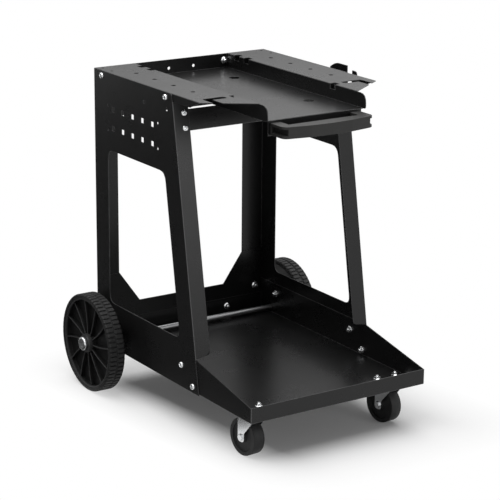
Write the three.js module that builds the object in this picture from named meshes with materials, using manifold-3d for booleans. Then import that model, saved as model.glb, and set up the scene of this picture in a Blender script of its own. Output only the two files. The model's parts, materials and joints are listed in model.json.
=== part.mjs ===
// A two-shelf welding cart of folded sheet steel, with two fixed wheels at the back and two swivel
// casters at the front. Millimetres, +Z up. The origin is on the floor under the middle of the cart,
// the front (handle and casters) faces -Y, and the cart's right-hand side is +X.
import * as THREE from "three";
import { mergeVertices } from "three/addons/utils/BufferGeometryUtils.js";
import Module from "manifold-3d";

// Frame
const WIDTH = 400; // over the outer faces of the side panels
const HEIGHT = 651; // floor to the top of the upper tray
const DEPTH = 568; // front of the lower tray to the back of the side panels
const SHEET = 1.5; // thickness of every folded sheet
const FIT = 0.3; // running and passing clearance
const FOLD_GAP = 1; // between the ends of folds that face each other
const CORNER = 18; // rounding of the window corners
const CURVE_STEPS = 4; // straight steps in each rounded corner, and half of those in a round hole
const PIN_SIDES = 12; // flats around pins, caps, rods and the larger turned pieces
const CAP_SIDES = 16;
const ROD_SIDES = 20;
const CROWN_SIDES = 24;
const CASTER_SIDES = 28;
const WHEEL_SIDES = 36;
const TYRE_SIDES = 48;

// Side panels
const PANEL_SKIRT = 2; // lower edge of the panels below the lower tray
const LEG_DEPTH = 53; // width of the legs beside the window
const LEG_LEAN = 0.17; // forward run of the front edge for each millimetre down
const FRONT_EDGE_SETBACK = 296; // back of the panel to its front edge, at the top
const WINDOW_DROP = 154; // top of the panel to the window
const WINDOW_RISE = 95; // lower edge of the panel to the window
const REAR_FLANGE = 51;
const FRONT_FLANGE = 33;
const FRONT_FLANGE_GAP = 1; // side walls of the lower tray to the front flange
const SLOT_SIZE = 10; // square vent holes in the upper panel
const SLOT_PITCH = 37.3;
const SLOT_COLUMNS = 5;
const SLOT_ROWS = 2;
const SLOT_FIRST_BACK = 75; // back of the panel to the middle of the first column
const SLOT_FIRST_DROP = 71; // top of the panel to the middle of the first row
const PILOT_HOLE = 5; // small corner holes beside the vent holes
const PILOT_OFFSET_Y = 20;
const PILOT_OFFSET_Z = 6;

// Upper tray
const TROUGH_WIDTH = 220;
const TROUGH_DEPTH = 30;
const TROUGH_SETBACK = 472; // back of the tray to the front of its floor
const WALL_NOSE = 7; // run of the trough walls past the floor
const WALL_ROUNDING = 18.2; // upper front corners of those walls
const FLANGE_TIP_SETBACK = 391; // back of the tray to the outer front tips
const FLANGE_FRONT_SETBACK = 452; // back of the tray to where the slanted edge meets the trough
const LIP_HEIGHT = 15; // outer edges folded down inside the panels
const LIP_SLANT = 33; // run of the slanted front ends of those lips
const FRONT_LIP = 27; // fold under the front of the trough, which carries the handle
const FRONT_LIP_INSET = 6; // trough wall to the end of that fold
const BACK_HEM = 73; // run of the back wall below the trough
const TOOL_HOLE = 9;
const TOOL_HOLE_PITCH = 69.5;
const TOOL_HOLE_COUNT = 4;
const TOOL_HOLE_INSET = 43; // outer edge to the row of tool holes
const TOOL_HOLE_FIRST = 92; // back of the tray to the first tool hole
const CORNER_HOLE = 6;
const CORNER_HOLE_INSET = 12;
const CORNER_HOLE_PITCH = 36;
const NOTCH_LENGTH = 18; // strap notches across the fold of the trough
const NOTCH_DEPTH = 10;
const NOTCH_SETBACKS = [48, 84, 383];
const CABLE_SLOT = 15; // hooked cable slot near each tip
const CABLE_SLOT_INSET = 27;
const CABLE_SLOT_SETBACK = 373;
const CABLE_SLOT_REACH = 40;
const CABLE_SLOT_ROUNDING = 6;
const DRAIN_HOLE = 6; // holes through the back of the trough
const DRAIN_HOLE_SPACING = 58;
const DRAIN_HOLE_RISE = 12;
const FLOOR_HOLE = 21; // holes through the floor of the trough
const FLOOR_HOLE_SPACING = 120;
const FLOOR_HOLE_INSET = 107; // both ends of the trough to those holes

// Front cross plate
const CROSS_PLATE_DROP = 15; // top of the front flanges to the plate
const CROSS_PLATE_HEIGHT = 40;
const CROSS_BOLT_MARGIN = 6;
const CROSS_BOLT_INSET = 22; // outer face of the panel to the bolts

// Lower tray and back panel
const AXLE_RISE = 10; // underside of the tray to the axle
const TRAY_FRONT_WALL = 30.5;
const TRAY_SIDE_WALL = 66.5;
const TRAY_BACK_WALL = 35;
const TRAY_SLOPE_START = 188; // front of the tray to where its side walls stop falling
const BACK_PANEL_HEIGHT = 69;
const GUSSET_RISE = 65; // top of the back panel to the top of the gussets
const GUSSET_WIDTH = 98; // outer face of the panel to the foot of the gusset

// Handle
const HANDLE_HALF_WIDTH = 100;
const HANDLE_HEIGHT = 22;
const HANDLE_REACH = 44; // tray to the corners of the grip
const HANDLE_BOW = 13; // extra reach at the middle of the grip
const HANDLE_DROP = 3; // underside of the trough to the top of the handle
const HANDLE_CORNER = 10; // rounding of the front corners of the grip
const FINGER_GAP = 28; // tray to the grip
const HANDLE_END = 22; // end of the handle to the finger gap
const HANDLE_RECESS = 12; // height of the grooves in the ends
const HANDLE_RECESS_DEPTH = 9;
const HANDLE_RECESS_WALL = 6; // tray to those grooves
const HANDLE_SCREW_INSET = 15; // end of the handle to its screws
const HANDLE_SCREW_LENGTH = 14;

// Torch hook on the right-hand panel
const HOOK_SHEET = 2;
const HOOK_REACH = 30; // panel to the outside of the upturned plate
const HOOK_BOLT_SPACING = 82;
const HOOK_BOLT_DROP = 33; // top of the panel to the bolts
const HOOK_FIRST_BOLT = 195; // back of the panel to the rear bolt
const HOOK_MARGIN = 11; // bolts to the edge of the back plate
const HOOK_SHELF_DROP = 15; // bolts to the underside of the shelf
const HOOK_RISE = 52; // shelf to the top of the tall prong
const HOOK_SHORT_RISE = 45;
const HOOK_SHOULDER = 41.6; // shelf to the rear shoulder of the tall prong
const HOOK_GAP = 17;
const HOOK_GAP_DEPTH = 40;
const HOOK_SHORT_PRONG = 15;
const HOOK_TALL_PRONG = 57;

// Back wheels
const WHEEL_DIAMETER = 200;
const TYRE_WIDTH = 35;
const TYRE_DEPTH = 8;
const TYRE_SHOULDER = 2.4;
const SHOULDER_CUT = 0.72; // middle of the rounded shoulder to both of its faces
const WHEEL_GAP = 14.5; // panel to the inner side of the tyre
const AXLE_DIAMETER = 12;
const AXLE_SETBACK = 39.5; // back of the panel to the axle
const SPACER_LENGTH = 7;
const SPACER_WALL = 4;
const HUB_DIAMETER = 38;
const HUB_NOSE = 2; // run of the hub past the tyre
const RIM_WALL = 3.5;
const RIM_INSET = 1.5; // tyre side to the rim edge
const WEB_THICKNESS = 4;
const WEB_OFFSET = 12; // outer side of the tyre to the outer face of the web
const RIB_COUNT = 12;
const RIB_WIDTH = 2.2;
const RIB_HEIGHT = 8;
const RIB_SWEEP = 0.14; // angle between the ends of a rib, in radians
const CAP_DIAMETER = 28;
const CAP_LENGTH = 9;
const CAP_RIM = 5.4; // straight part of the cap
const CAP_FACE = 21; // diameter of its flat end
const CAP_POCKET = 5; // run of the axle into the cap

// Front casters
const CASTER_INSET = 10; // inner face of the panel to the mounting plate
const CASTER_SETBACK = 46; // front of the lower tray to the swivel axes
const CASTER_TRAIL = 24;
const CASTER_TURN = 0.09; // swivel angle in the modelled position, in radians
const CASTER_HEADROOM = 5.7; // wheel to the fork's crown
const CASTER_WHEEL_WIDTH = 24;
const CASTER_RECESS = 3; // dish in the sides of the wheel
const CASTER_RIM = 9; // width of the tread ring around the dish
const CASTER_HUB_DIAMETER = 22;
const CASTER_PLATE_SIZE = 60;
const CASTER_PLATE_THICKNESS = 2.5;
const CASTER_BOLT_SPACING = 43;
const RACE_DIAMETER = 40;
const RACE_HEIGHT = 4;
const FORK_SHEET = 2.5;
const FORK_CLEARANCE = 1; // wheel to fork leg
const FORK_CROWN = 21; // radius of the round top of the fork
const FORK_TIP = 9; // radius around the axle
const FORK_TIP_ROUNDING = 7.2;
const FORK_FRONT = 12.6; // swivel axis to the front of the legs
const KINGPIN_DIAMETER = 11;
const KINGPIN_HEAD = 18;
const KINGPIN_HEAD_HEIGHT = 2;
const CASTER_AXLE_DIAMETER = 8;
const CASTER_AXLE_HEAD = 13;
const CASTER_AXLE_HEAD_HEIGHT = 3;

// Fasteners
const BOLT = 6;
const BOLT_HEAD = 12;
const BOLT_HEAD_HEIGHT = 3.6;
const NUT = 11.5; // across the corners
const NUT_HEIGHT = 5;
const NUT_SKIRT = 14.5; // flange that the nut seats on
const NUT_SKIRT_EDGE = 0.8; // height of its rim
const NUT_SKIRT_HEIGHT = 2.2;
const BOLT_SIDES = 8; // flats around a bolt's head and shank
const BOLT_TIP = 3; // thread past the nut
const TOP_BOLT_DROP = 10.5; // top of the panel to the upper row of bolts
const TOP_BOLT_SETBACKS = [31, 273];
const TRAY_BOLTS = [
  ["rear", 61, 45],
  ["middle", 328, 42],
  ["front", 369, 10.5],
]; // name, back of the panel to the bolt, tray underside to the bolt
const BACK_BOLT_INSET = 18; // outer face of the panel to the bolts through its rear flange
const BACK_BOLT_RISE = 54; // panel bottom to those bolts
const TRAY_BACK_BOLT_INSET = 90;
const TRAY_BACK_BOLT_RISE = 17; // tray underside to the bolts through its back wall

// Places that follow from the sizes above
const WHEEL_RADIUS = WHEEL_DIAMETER / 2;
const FRONT = -(DEPTH - AXLE_SETBACK + WHEEL_RADIUS) / 2;
const BACK = FRONT + DEPTH;
const HALF = WIDTH / 2;
const INSIDE = HALF - SHEET; // inner face of a side panel
const BEND = SHEET / 2; // how far the two sheets of a fold run into each other
const AXLE_Y = BACK - AXLE_SETBACK;
const AXLE_Z = WHEEL_RADIUS;
const HOLE = BOLT / 2 + FIT;
const TRAY_BOTTOM = AXLE_Z - AXLE_RISE;
const PANEL_BOTTOM = TRAY_BOTTOM - PANEL_SKIRT;
const WINDOW_TOP = HEIGHT - WINDOW_DROP;
const WINDOW_BOTTOM = PANEL_BOTTOM + WINDOW_RISE;
const FLANGE_TOP = HEIGHT - LIP_HEIGHT - FOLD_GAP;
const FRONT_FLANGE_BOTTOM = TRAY_BOTTOM + TRAY_SIDE_WALL + FRONT_FLANGE_GAP;
const CROSS_PLATE_TOP = FLANGE_TOP - CROSS_PLATE_DROP;
const CROSS_PLATE_BOTTOM = CROSS_PLATE_TOP - CROSS_PLATE_HEIGHT;
const BACK_PANEL_TOP = PANEL_BOTTOM + BACK_PANEL_HEIGHT;
const GUSSET_TOP = BACK_PANEL_TOP + GUSSET_RISE;
const CASTER_SPACING = 2 * (INSIDE - CASTER_INSET) - CASTER_PLATE_SIZE; // between the swivel axes
const TROUGH_FLOOR = HEIGHT - TROUGH_DEPTH;
const REAR_FLANGE_TOP = TROUGH_FLOOR - BACK_HEM - FOLD_GAP;
const TROUGH_HALF = TROUGH_WIDTH / 2;
const TROUGH_FRONT = BACK - TROUGH_SETBACK;
const FINGER_GAP_HALF = HANDLE_HALF_WIDTH - HANDLE_END;
const HANDLE_SCREW_HALF_SPACING = HANDLE_HALF_WIDTH - HANDLE_SCREW_INSET;
const SIDES = { left: -1, right: 1 };
const LEG_SLANT = Math.hypot(1, LEG_LEAN);

/** Forward edge of the side panels at the height z. */
function legFront(z) {
  return BACK - FRONT_EDGE_SETBACK - LEG_LEAN * (HEIGHT - z);
}

const wasm = await Module();
wasm.setup();

const paint = new THREE.MeshStandardMaterial({ color: 0x1b1c1c, roughness: 0.45, metalness: 0.1 });
const plastic = new THREE.MeshStandardMaterial({ color: 0x232323, roughness: 0.6, metalness: 0 });
const rubber = new THREE.MeshStandardMaterial({ color: 0x1d1d1d, roughness: 0.85, metalness: 0 });
const zinc = new THREE.MeshStandardMaterial({ color: 0xc4c7ca, roughness: 0.3, metalness: 1 });

const cart = new THREE.Group();

/** Adds a geometry to a group as one named sub-part. */
function place(group, name, geometry, material) {
  const mesh = new THREE.Mesh(geometry, material);
  mesh.name = name;
  group.add(mesh);
  return mesh;
}

/** Turns a closed geometry into a solid for cutting and joining. */
function solid(geometry) {
  const bare = geometry.clone();
  bare.deleteAttribute("normal");
  bare.deleteAttribute("uv");
  const merged = mergeVertices(bare, 1e-4);
  return new wasm.Manifold(
    new wasm.Mesh({
      numProp: 3,
      vertProperties: merged.attributes.position.array,
      triVerts: new Uint32Array(merged.index.array),
    }),
  );
}

/** Turns a solid back into a geometry. */
function geometryOf(body) {
  const mesh = body.getMesh();
  const geometry = new THREE.BufferGeometry();
  geometry.setAttribute("position", new THREE.BufferAttribute(mesh.vertProperties, 3));
  geometry.setIndex(new THREE.BufferAttribute(mesh.triVerts, 1));
  geometry.computeVertexNormals();
  return geometry;
}

/** Joins closed geometries into one. */
function join(...geometries) {
  return geometryOf(geometries.map(solid).reduce((all, body) => all.add(body)));
}

/** Cuts every following geometry from the first. */
function cut(geometry, ...tools) {
  return geometryOf(tools.map(solid).reduce((rest, tool) => rest.subtract(tool), solid(geometry)));
}

/** Closed outline through corner points [a, b, radius], each corner rounded by its radius if it has one. */
function outline(corners, Kind = THREE.Shape) {
  const path = new Kind();
  corners.forEach(([a, b, radius = 0], i) => {
    const corner = new THREE.Vector2(a, b);
    const before = new THREE.Vector2(...corners.at(i - 1));
    const after = new THREE.Vector2(...corners[(i + 1) % corners.length]);
    const start = before.sub(corner).setLength(radius).add(corner);
    const end = after.sub(corner).setLength(radius).add(corner);
    if (i === 0) path.moveTo(start.x, start.y);
    else path.lineTo(start.x, start.y);
    if (radius) path.quadraticCurveTo(corner.x, corner.y, end.x, end.y);
  });
  path.closePath();
  return path;
}

/** Rectangle between two corners, with one rounding for all four. */
function rectangle(a0, b0, a1, b1, radius = 0, Kind = THREE.Shape) {
  return outline(
    [
      [a0, b0, radius],
      [a1, b0, radius],
      [a1, b1, radius],
      [a0, b1, radius],
    ],
    Kind,
  );
}

/** Round hole for an outline, whose flats lie at the given radius. */
function circle(a, b, radius) {
  const path = new THREE.Path();
  path.absarc(a, b, radius / Math.cos(Math.PI / (2 * CURVE_STEPS)), 0, 2 * Math.PI, true);
  return path;
}

/** Adds holes to an outline. */
function pierced(shape, holes) {
  shape.holes.push(...holes);
  return shape;
}

/** Sheet of a given thickness from an outline, rising from the outline's plane. */
function sheet(shape, thickness) {
  const settings = { depth: thickness, bevelEnabled: false, curveSegments: CURVE_STEPS };
  return new THREE.ExtrudeGeometry(shape, settings);
}

/** Sheet that faces X: the outline is (y, z) and the sheet runs from x towards +X. */
function sheetX(shape, x, thickness = SHEET) {
  const basis = new THREE.Matrix4().set(0, 0, 1, x, 1, 0, 0, 0, 0, 1, 0, 0, 0, 0, 0, 1);
  return sheet(shape, thickness).applyMatrix4(basis);
}

/** Sheet that faces Y: the outline is (x, z) and the sheet runs from y towards -Y. */
function sheetY(shape, y, thickness = SHEET) {
  const basis = new THREE.Matrix4().set(1, 0, 0, 0, 0, 0, -1, y, 0, 1, 0, 0, 0, 0, 0, 1);
  return sheet(shape, thickness).applyMatrix4(basis);
}

/** Level sheet: the outline is (x, y) and the sheet rises from z. */
function sheetZ(shape, z, thickness = SHEET) {
  return sheet(shape, thickness).translate(0, 0, z);
}

/** Solid block between two corners. */
function block(from, to) {
  const low = new THREE.Vector3(...from).min(new THREE.Vector3(...to));
  const high = new THREE.Vector3(...from).max(new THREE.Vector3(...to));
  const size = high.clone().sub(low);
  const middle = high.add(low).divideScalar(2);
  return new THREE.BoxGeometry(...size).translate(...middle);
}

/** Body of revolution about X from profile points [radius, x]. */
function turnedX(profile, sides) {
  const points = profile.map(([radius, x]) => new THREE.Vector2(radius, x));
  return new THREE.LatheGeometry(points, sides).rotateZ(-Math.PI / 2);
}

/** Body of revolution about Z from profile points [radius, z]. */
function turnedZ(profile, sides) {
  const points = profile.map(([radius, z]) => new THREE.Vector2(radius, z));
  return new THREE.LatheGeometry(points, sides).rotateX(Math.PI / 2);
}

/** Closed ring profile between two radii and two places along the axis. */
function ringProfile(inner, outer, from, to) {
  return [
    [inner, from],
    [outer, from],
    [outer, to],
    [inner, to],
    [inner, from],
  ];
}

/** Pan-head bolt with its flanged nut: the head sits above z = 0, and the nut under the clamped sheets. */
function boltAndNut(grip) {
  const end = -(grip + NUT_HEIGHT + BOLT_TIP);
  const bolt = turnedZ(headProfile(end), BOLT_SIDES);
  const nut = new THREE.CylinderGeometry(NUT / 2, NUT / 2, NUT_HEIGHT, 6).rotateX(Math.PI / 2);
  const skirtProfile = [
    [0, -grip - NUT_SKIRT_HEIGHT],
    [NUT / 2, -grip - NUT_SKIRT_HEIGHT],
    [NUT_SKIRT / 2, -grip - NUT_SKIRT_EDGE],
    [NUT_SKIRT / 2, -grip],
    [0, -grip],
  ];
  const skirt = turnedZ(skirtProfile, PIN_SIDES);
  return join(bolt, nut.translate(0, 0, -(grip + NUT_HEIGHT / 2)), skirt);
}

/** Pan-head screw without a nut. */
function screw(length) {
  return turnedZ(headProfile(-length), BOLT_SIDES);
}

/** Profile of a pan head and its shank, down to the height of the shank's end. */
function headProfile(end) {
  return [
    [0, end],
    [BOLT / 2, end],
    [BOLT / 2, 0],
    [BOLT_HEAD / 2, 0],
    [BOLT_HEAD / 2, BOLT_HEAD_HEIGHT / 2],
    [BOLT_HEAD / 3, BOLT_HEAD_HEIGHT],
    [0, BOLT_HEAD_HEIGHT],
  ];
}

/** Places a fastener with its head's seat at a point, and its head facing along a direction. */
function fasten(group, name, geometry, seat, facing) {
  const mesh = place(group, name, geometry, zinc);
  mesh.position.set(...seat);
  mesh.quaternion.setFromUnitVectors(new THREE.Vector3(0, 0, 1), new THREE.Vector3(...facing));
}

/** Plane of the slanted front legs: x across, y up the leg from the top, z out of the front face. */
const legPlane = new THREE.Group();
legPlane.position.set(0, legFront(HEIGHT), HEIGHT);
legPlane.rotation.x = Math.atan2(1, LEG_LEAN);
legPlane.updateMatrix();
cart.add(legPlane);

/** Distance up the slanted leg, from its top, of a height above the floor. */
function alongLeg(z) {
  return (z - HEIGHT) * LEG_SLANT;
}

/** Outline and openings of a side panel in (y, z). */
function panelOutline(bolts) {
  const webBack = BACK - BEND;
  const webFront = (z) => legFront(z) + BEND;
  const shape = outline([
    [webBack, PANEL_BOTTOM],
    [webBack, HEIGHT],
    [webFront(HEIGHT), HEIGHT, CORNER / 3],
    [webFront(PANEL_BOTTOM), PANEL_BOTTOM],
  ]);
  const windowFront = (z) => legFront(z) + LEG_DEPTH;
  const window = outline(
    [
      [BACK - LEG_DEPTH, WINDOW_BOTTOM, CORNER],
      [windowFront(WINDOW_BOTTOM), WINDOW_BOTTOM, CORNER],
      [windowFront(WINDOW_TOP), WINDOW_TOP, CORNER],
      [BACK - LEG_DEPTH, WINDOW_TOP, CORNER],
    ],
    THREE.Path,
  );
  const holes = [window, circle(AXLE_Y, AXLE_Z, AXLE_DIAMETER / 2 + FIT)];
  for (const y of [slotY(0) + PILOT_OFFSET_Y, slotY(SLOT_COLUMNS - 1) - PILOT_OFFSET_Y])
    for (const z of [slotZ(0) + PILOT_OFFSET_Z, slotZ(SLOT_ROWS - 1) - PILOT_OFFSET_Z])
      holes.push(circle(y, z, PILOT_HOLE / 2));
  for (const [y, z] of bolts) holes.push(circle(y, z, HOLE));
  return pierced(shape, holes);
}

/** Middle of a column of vent holes. */
function slotY(column) {
  return BACK - SLOT_FIRST_BACK - column * SLOT_PITCH;
}

/** Middle of a row of vent holes. */
function slotZ(row) {
  return HEIGHT - SLOT_FIRST_DROP - row * SLOT_PITCH;
}

/** Cutters for the vent holes of the right-hand panel. */
function ventCutters() {
  const half = SLOT_SIZE / 2;
  const cutters = [];
  for (let row = 0; row < SLOT_ROWS; row++)
    for (let column = 0; column < SLOT_COLUMNS; column++) {
      const low = [INSIDE - SHEET, slotY(column) - half, slotZ(row) - half];
      const high = [HALF + SHEET, slotY(column) + half, slotZ(row) + half];
      cutters.push(block(low, high));
    }
  return cutters;
}

/** Places [y, z] of the bolts through the web of a side panel. */
const topBolts = TOP_BOLT_SETBACKS.map((setback) => [BACK - setback, HEIGHT - TOP_BOLT_DROP]);
const trayBolts = TRAY_BOLTS.map(([, setback, rise]) => [BACK - setback, TRAY_BOTTOM + rise]);
const hookBolts = [0, HOOK_BOLT_SPACING].map((run) => [BACK - HOOK_FIRST_BOLT - run, HEIGHT - HOOK_BOLT_DROP]);
const crossBoltHeights = [CROSS_PLATE_TOP - CROSS_BOLT_MARGIN, CROSS_PLATE_BOTTOM + CROSS_BOLT_MARGIN];
const crossBoltX = HALF - CROSS_BOLT_INSET;

/** Right-hand side panel with its inward flanges; the left one is its mirror image. */
function sidePanel() {
  const web = cut(sheetX(panelOutline([...topBolts, ...trayBolts, ...hookBolts]), INSIDE), ...ventCutters());
  const rearHole = circle(HALF - BACK_BOLT_INSET, PANEL_BOTTOM + BACK_BOLT_RISE, HOLE);
  const edge = HALF - BEND;
  const rearShape = rectangle(HALF - REAR_FLANGE, PANEL_BOTTOM + BEND, edge, REAR_FLANGE_TOP);
  const rearFlange = pierced(rearShape, [rearHole]);
  const frontFlange = outline([
    [edge, alongLeg(FRONT_FLANGE_BOTTOM)],
    [edge, alongLeg(FLANGE_TOP)],
    [HALF - FRONT_FLANGE, alongLeg(FLANGE_TOP)],
    [HALF - FRONT_FLANGE, alongLeg(FRONT_FLANGE_BOTTOM) + FRONT_FLANGE / 8, FRONT_FLANGE / 4],
  ]);
  const frontHoles = crossBoltHeights.map((z) => circle(crossBoltX, alongLeg(z), HOLE));
  const slanted = sheet(pierced(frontFlange, frontHoles), SHEET).translate(0, 0, -SHEET);
  return join(web, sheetY(rearFlange, BACK), slanted.applyMatrix4(legPlane.matrix));
}

const panelGeometry = sidePanel();
for (const [side, sign] of Object.entries(SIDES)) {
  place(cart, `${side}_side_panel`, panelGeometry, paint).scale.x = sign;
}

/** Hooked cable slot cut in from the slanted edge of the right-hand flange. */
function cableSlot() {
  const x = INSIDE - CABLE_SLOT_INSET;
  const y = BACK - CABLE_SLOT_SETBACK;
  const half = CABLE_SLOT / 2;
  const past = BACK - FLANGE_FRONT_SETBACK;
  return outline([
    [x - half, past],
    [x + half, past],
    [x + half, y + half, half],
    [x - CABLE_SLOT_REACH, y + half, CABLE_SLOT_ROUNDING],
    [x - CABLE_SLOT_REACH, y - half, CABLE_SLOT_ROUNDING],
    [x - half, y - half],
  ]);
}

/** Upper tray: a trough between two wide flanges, with folded edges. */
function upperTray() {
  const foldBack = BACK - BEND;
  const foldTop = HEIGHT - BEND;
  const foldBottom = TROUGH_FLOOR + BEND;
  const flangePlan = outline([
    [TROUGH_HALF - BEND, foldBack],
    [TROUGH_HALF - BEND, BACK - FLANGE_FRONT_SETBACK],
    [INSIDE - BEND, BACK - FLANGE_TIP_SETBACK],
    [INSIDE - BEND, foldBack],
  ]);
  const holes = [];
  for (let i = 0; i < TOOL_HOLE_COUNT; i++) {
    holes.push(circle(HALF - TOOL_HOLE_INSET, BACK - TOOL_HOLE_FIRST - i * TOOL_HOLE_PITCH, TOOL_HOLE / 2));
  }
  for (let i = 0; i < 2; i++) {
    const y = BACK - CORNER_HOLE_INSET - i * CORNER_HOLE_PITCH;
    holes.push(circle(INSIDE - CORNER_HOLE_INSET, y, CORNER_HOLE / 2));
  }
  const flange = cut(
    sheetZ(pierced(flangePlan, holes), HEIGHT - SHEET),
    sheetZ(cableSlot(), HEIGHT - 2 * SHEET, 3 * SHEET),
  );
  const lipFront = BACK - FLANGE_TIP_SETBACK + BEND;
  const lipShape = outline([
    [foldBack, HEIGHT - LIP_HEIGHT],
    [foldBack, foldTop],
    [lipFront, foldTop],
    [lipFront + LIP_SLANT, HEIGHT - LIP_HEIGHT],
  ]);
  const lip = sheetX(pierced(lipShape, topBolts.map(([y, z]) => circle(y, z, HOLE))), INSIDE - SHEET);
  const wallShape = outline([
    [foldBack, foldBottom],
    [foldBack, foldTop],
    [TROUGH_FRONT - WALL_NOSE, foldTop, WALL_ROUNDING],
    [TROUGH_FRONT - WALL_NOSE, foldBottom, 3 * SHEET],
  ]);
  const wall = sheetX(wallShape, TROUGH_HALF - SHEET);
  const notches = NOTCH_SETBACKS.map((setback) =>
    block(
      [TROUGH_HALF - 2 * SHEET, BACK - setback, HEIGHT - NOTCH_DEPTH],
      [TROUGH_HALF + NOTCH_DEPTH, BACK - setback + NOTCH_LENGTH, HEIGHT + SHEET],
    ),
  );
  const right = cut(join(flange, lip, wall), ...notches);
  const left = mirrored(right);
  const floorEdge = TROUGH_HALF - BEND;
  const floorHoles = [TROUGH_FRONT + FLOOR_HOLE_INSET, BACK - FLOOR_HOLE_INSET].flatMap((y) =>
    [-1, 1].map((sign) => circle((sign * FLOOR_HOLE_SPACING) / 2, y, FLOOR_HOLE / 2)),
  );
  const floorPlan = rectangle(-floorEdge, TROUGH_FRONT + BEND, floorEdge, foldBack);
  const floor = sheetZ(pierced(floorPlan, floorHoles), TROUGH_FLOOR);
  const drainZ = TROUGH_FLOOR + DRAIN_HOLE_RISE;
  const backWall = pierced(
    rectangle(1.5 * BEND - INSIDE, TROUGH_FLOOR - BACK_HEM, INSIDE - 1.5 * BEND, HEIGHT - BEND / 2),
    [-1, 1].map((sign) => circle((sign * DRAIN_HOLE_SPACING) / 2, drainZ, DRAIN_HOLE / 2)),
  );
  const screwZ = handleTop - HANDLE_HEIGHT / 2;
  const frontLipHalf = TROUGH_HALF - FRONT_LIP_INSET;
  const frontLip = pierced(
    rectangle(-frontLipHalf, TROUGH_FLOOR - FRONT_LIP, frontLipHalf, foldBottom),
    [-1, 1].map((sign) => circle(sign * HANDLE_SCREW_HALF_SPACING, screwZ, HOLE)),
  );
  return join(right, left, floor, sheetY(backWall, BACK), sheetY(frontLip, TROUGH_FRONT + SHEET));
}

/** Mirror image of a geometry across the middle of the cart. */
function mirrored(geometry) {
  const twin = geometry.clone().scale(-1, 1, 1);
  const order = twin.index.array;
  for (let i = 0; i < order.length; i += 3) [order[i], order[i + 1]] = [order[i + 1], order[i]];
  return twin;
}

const handleTop = TROUGH_FLOOR - HANDLE_DROP;
place(cart, "top_tray", upperTray(), paint);

/** Plate across the tops of the front legs, clamped behind their flanges. */
const crossPlateShape = pierced(
  rectangle(-INSIDE + FIT, alongLeg(CROSS_PLATE_BOTTOM), INSIDE - FIT, alongLeg(CROSS_PLATE_TOP)),
  crossBoltHeights.flatMap((z) => [-crossBoltX, crossBoltX].map((x) => circle(x, alongLeg(z), HOLE))),
);
place(legPlane, "front_cross_plate", sheet(crossPlateShape, SHEET).translate(0, 0, -2 * SHEET - FIT), paint);

/** Lower tray with a low front wall and side walls that fall towards it. */
function lowerTray() {
  const backFace = BACK - 2 * SHEET; // against the back panel
  const floorHoles = [];
  for (const x of [-CASTER_SPACING / 2, CASTER_SPACING / 2])
    for (const [dx, dy] of casterBolts) floorHoles.push(circle(x + dx, FRONT + CASTER_SETBACK + dy, HOLE));
  const foldSide = INSIDE - BEND;
  const foldFront = FRONT + BEND;
  const foldBack = backFace - BEND;
  const foldBottom = TRAY_BOTTOM + BEND;
  const floor = sheetZ(pierced(rectangle(-foldSide, foldFront, foldSide, foldBack), floorHoles), TRAY_BOTTOM);
  const side = pierced(
    outline([
      [foldFront, foldBottom],
      [foldBack, foldBottom],
      [foldBack, TRAY_BOTTOM + TRAY_SIDE_WALL],
      [FRONT + TRAY_SLOPE_START, TRAY_BOTTOM + TRAY_SIDE_WALL],
      [foldFront, TRAY_BOTTOM + TRAY_FRONT_WALL - BEND],
    ]),
    [...trayBolts.map(([y, z]) => circle(y, z, HOLE)), circle(AXLE_Y, AXLE_Z, AXLE_DIAMETER / 2 + FIT)],
  );
  const frontWall = rectangle(-foldSide, foldBottom, foldSide, TRAY_BOTTOM + TRAY_FRONT_WALL);
  const backWall = pierced(
    rectangle(-foldSide, foldBottom, foldSide, TRAY_BOTTOM + TRAY_BACK_WALL),
    [-1, 1].map((sign) => circle(sign * trayBackBoltX, TRAY_BOTTOM + TRAY_BACK_BOLT_RISE, HOLE)),
  );
  return join(
    floor,
    sheetX(side, INSIDE - SHEET),
    sheetX(side, -INSIDE),
    sheetY(frontWall, FRONT + SHEET),
    sheetY(backWall, backFace),
  );
}

/** Places [x, y] of a caster's four bolts about its swivel axis. */
const casterBolts = [
  [-1, -1],
  [1, -1],
  [1, 1],
  [-1, 1],
].map((corner) => corner.map((sign) => (sign * CASTER_BOLT_SPACING) / 2));
const trayBackBoltX = HALF - TRAY_BACK_BOLT_INSET;
place(cart, "lower_tray", lowerTray(), paint);

/** Back panel with gussets that rise to the rear legs. */
function backPanel() {
  const edge = INSIDE;
  const gussetFoot = HALF - GUSSET_WIDTH;
  const flangeEdge = HALF - REAR_FLANGE;
  const shape = outline([
    [-edge, PANEL_BOTTOM],
    [edge, PANEL_BOTTOM],
    [edge, GUSSET_TOP],
    [flangeEdge, GUSSET_TOP],
    [gussetFoot, BACK_PANEL_TOP],
    [-gussetFoot, BACK_PANEL_TOP],
    [-flangeEdge, GUSSET_TOP],
    [-edge, GUSSET_TOP],
  ]);
  const holes = [-1, 1].flatMap((sign) => [
    circle(sign * (HALF - BACK_BOLT_INSET), PANEL_BOTTOM + BACK_BOLT_RISE, HOLE),
    circle(sign * trayBackBoltX, TRAY_BOTTOM + TRAY_BACK_BOLT_RISE, HOLE),
  ]);
  return sheetY(pierced(shape, holes), BACK - SHEET);
}

place(cart, "rear_panel", backPanel(), paint);

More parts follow.
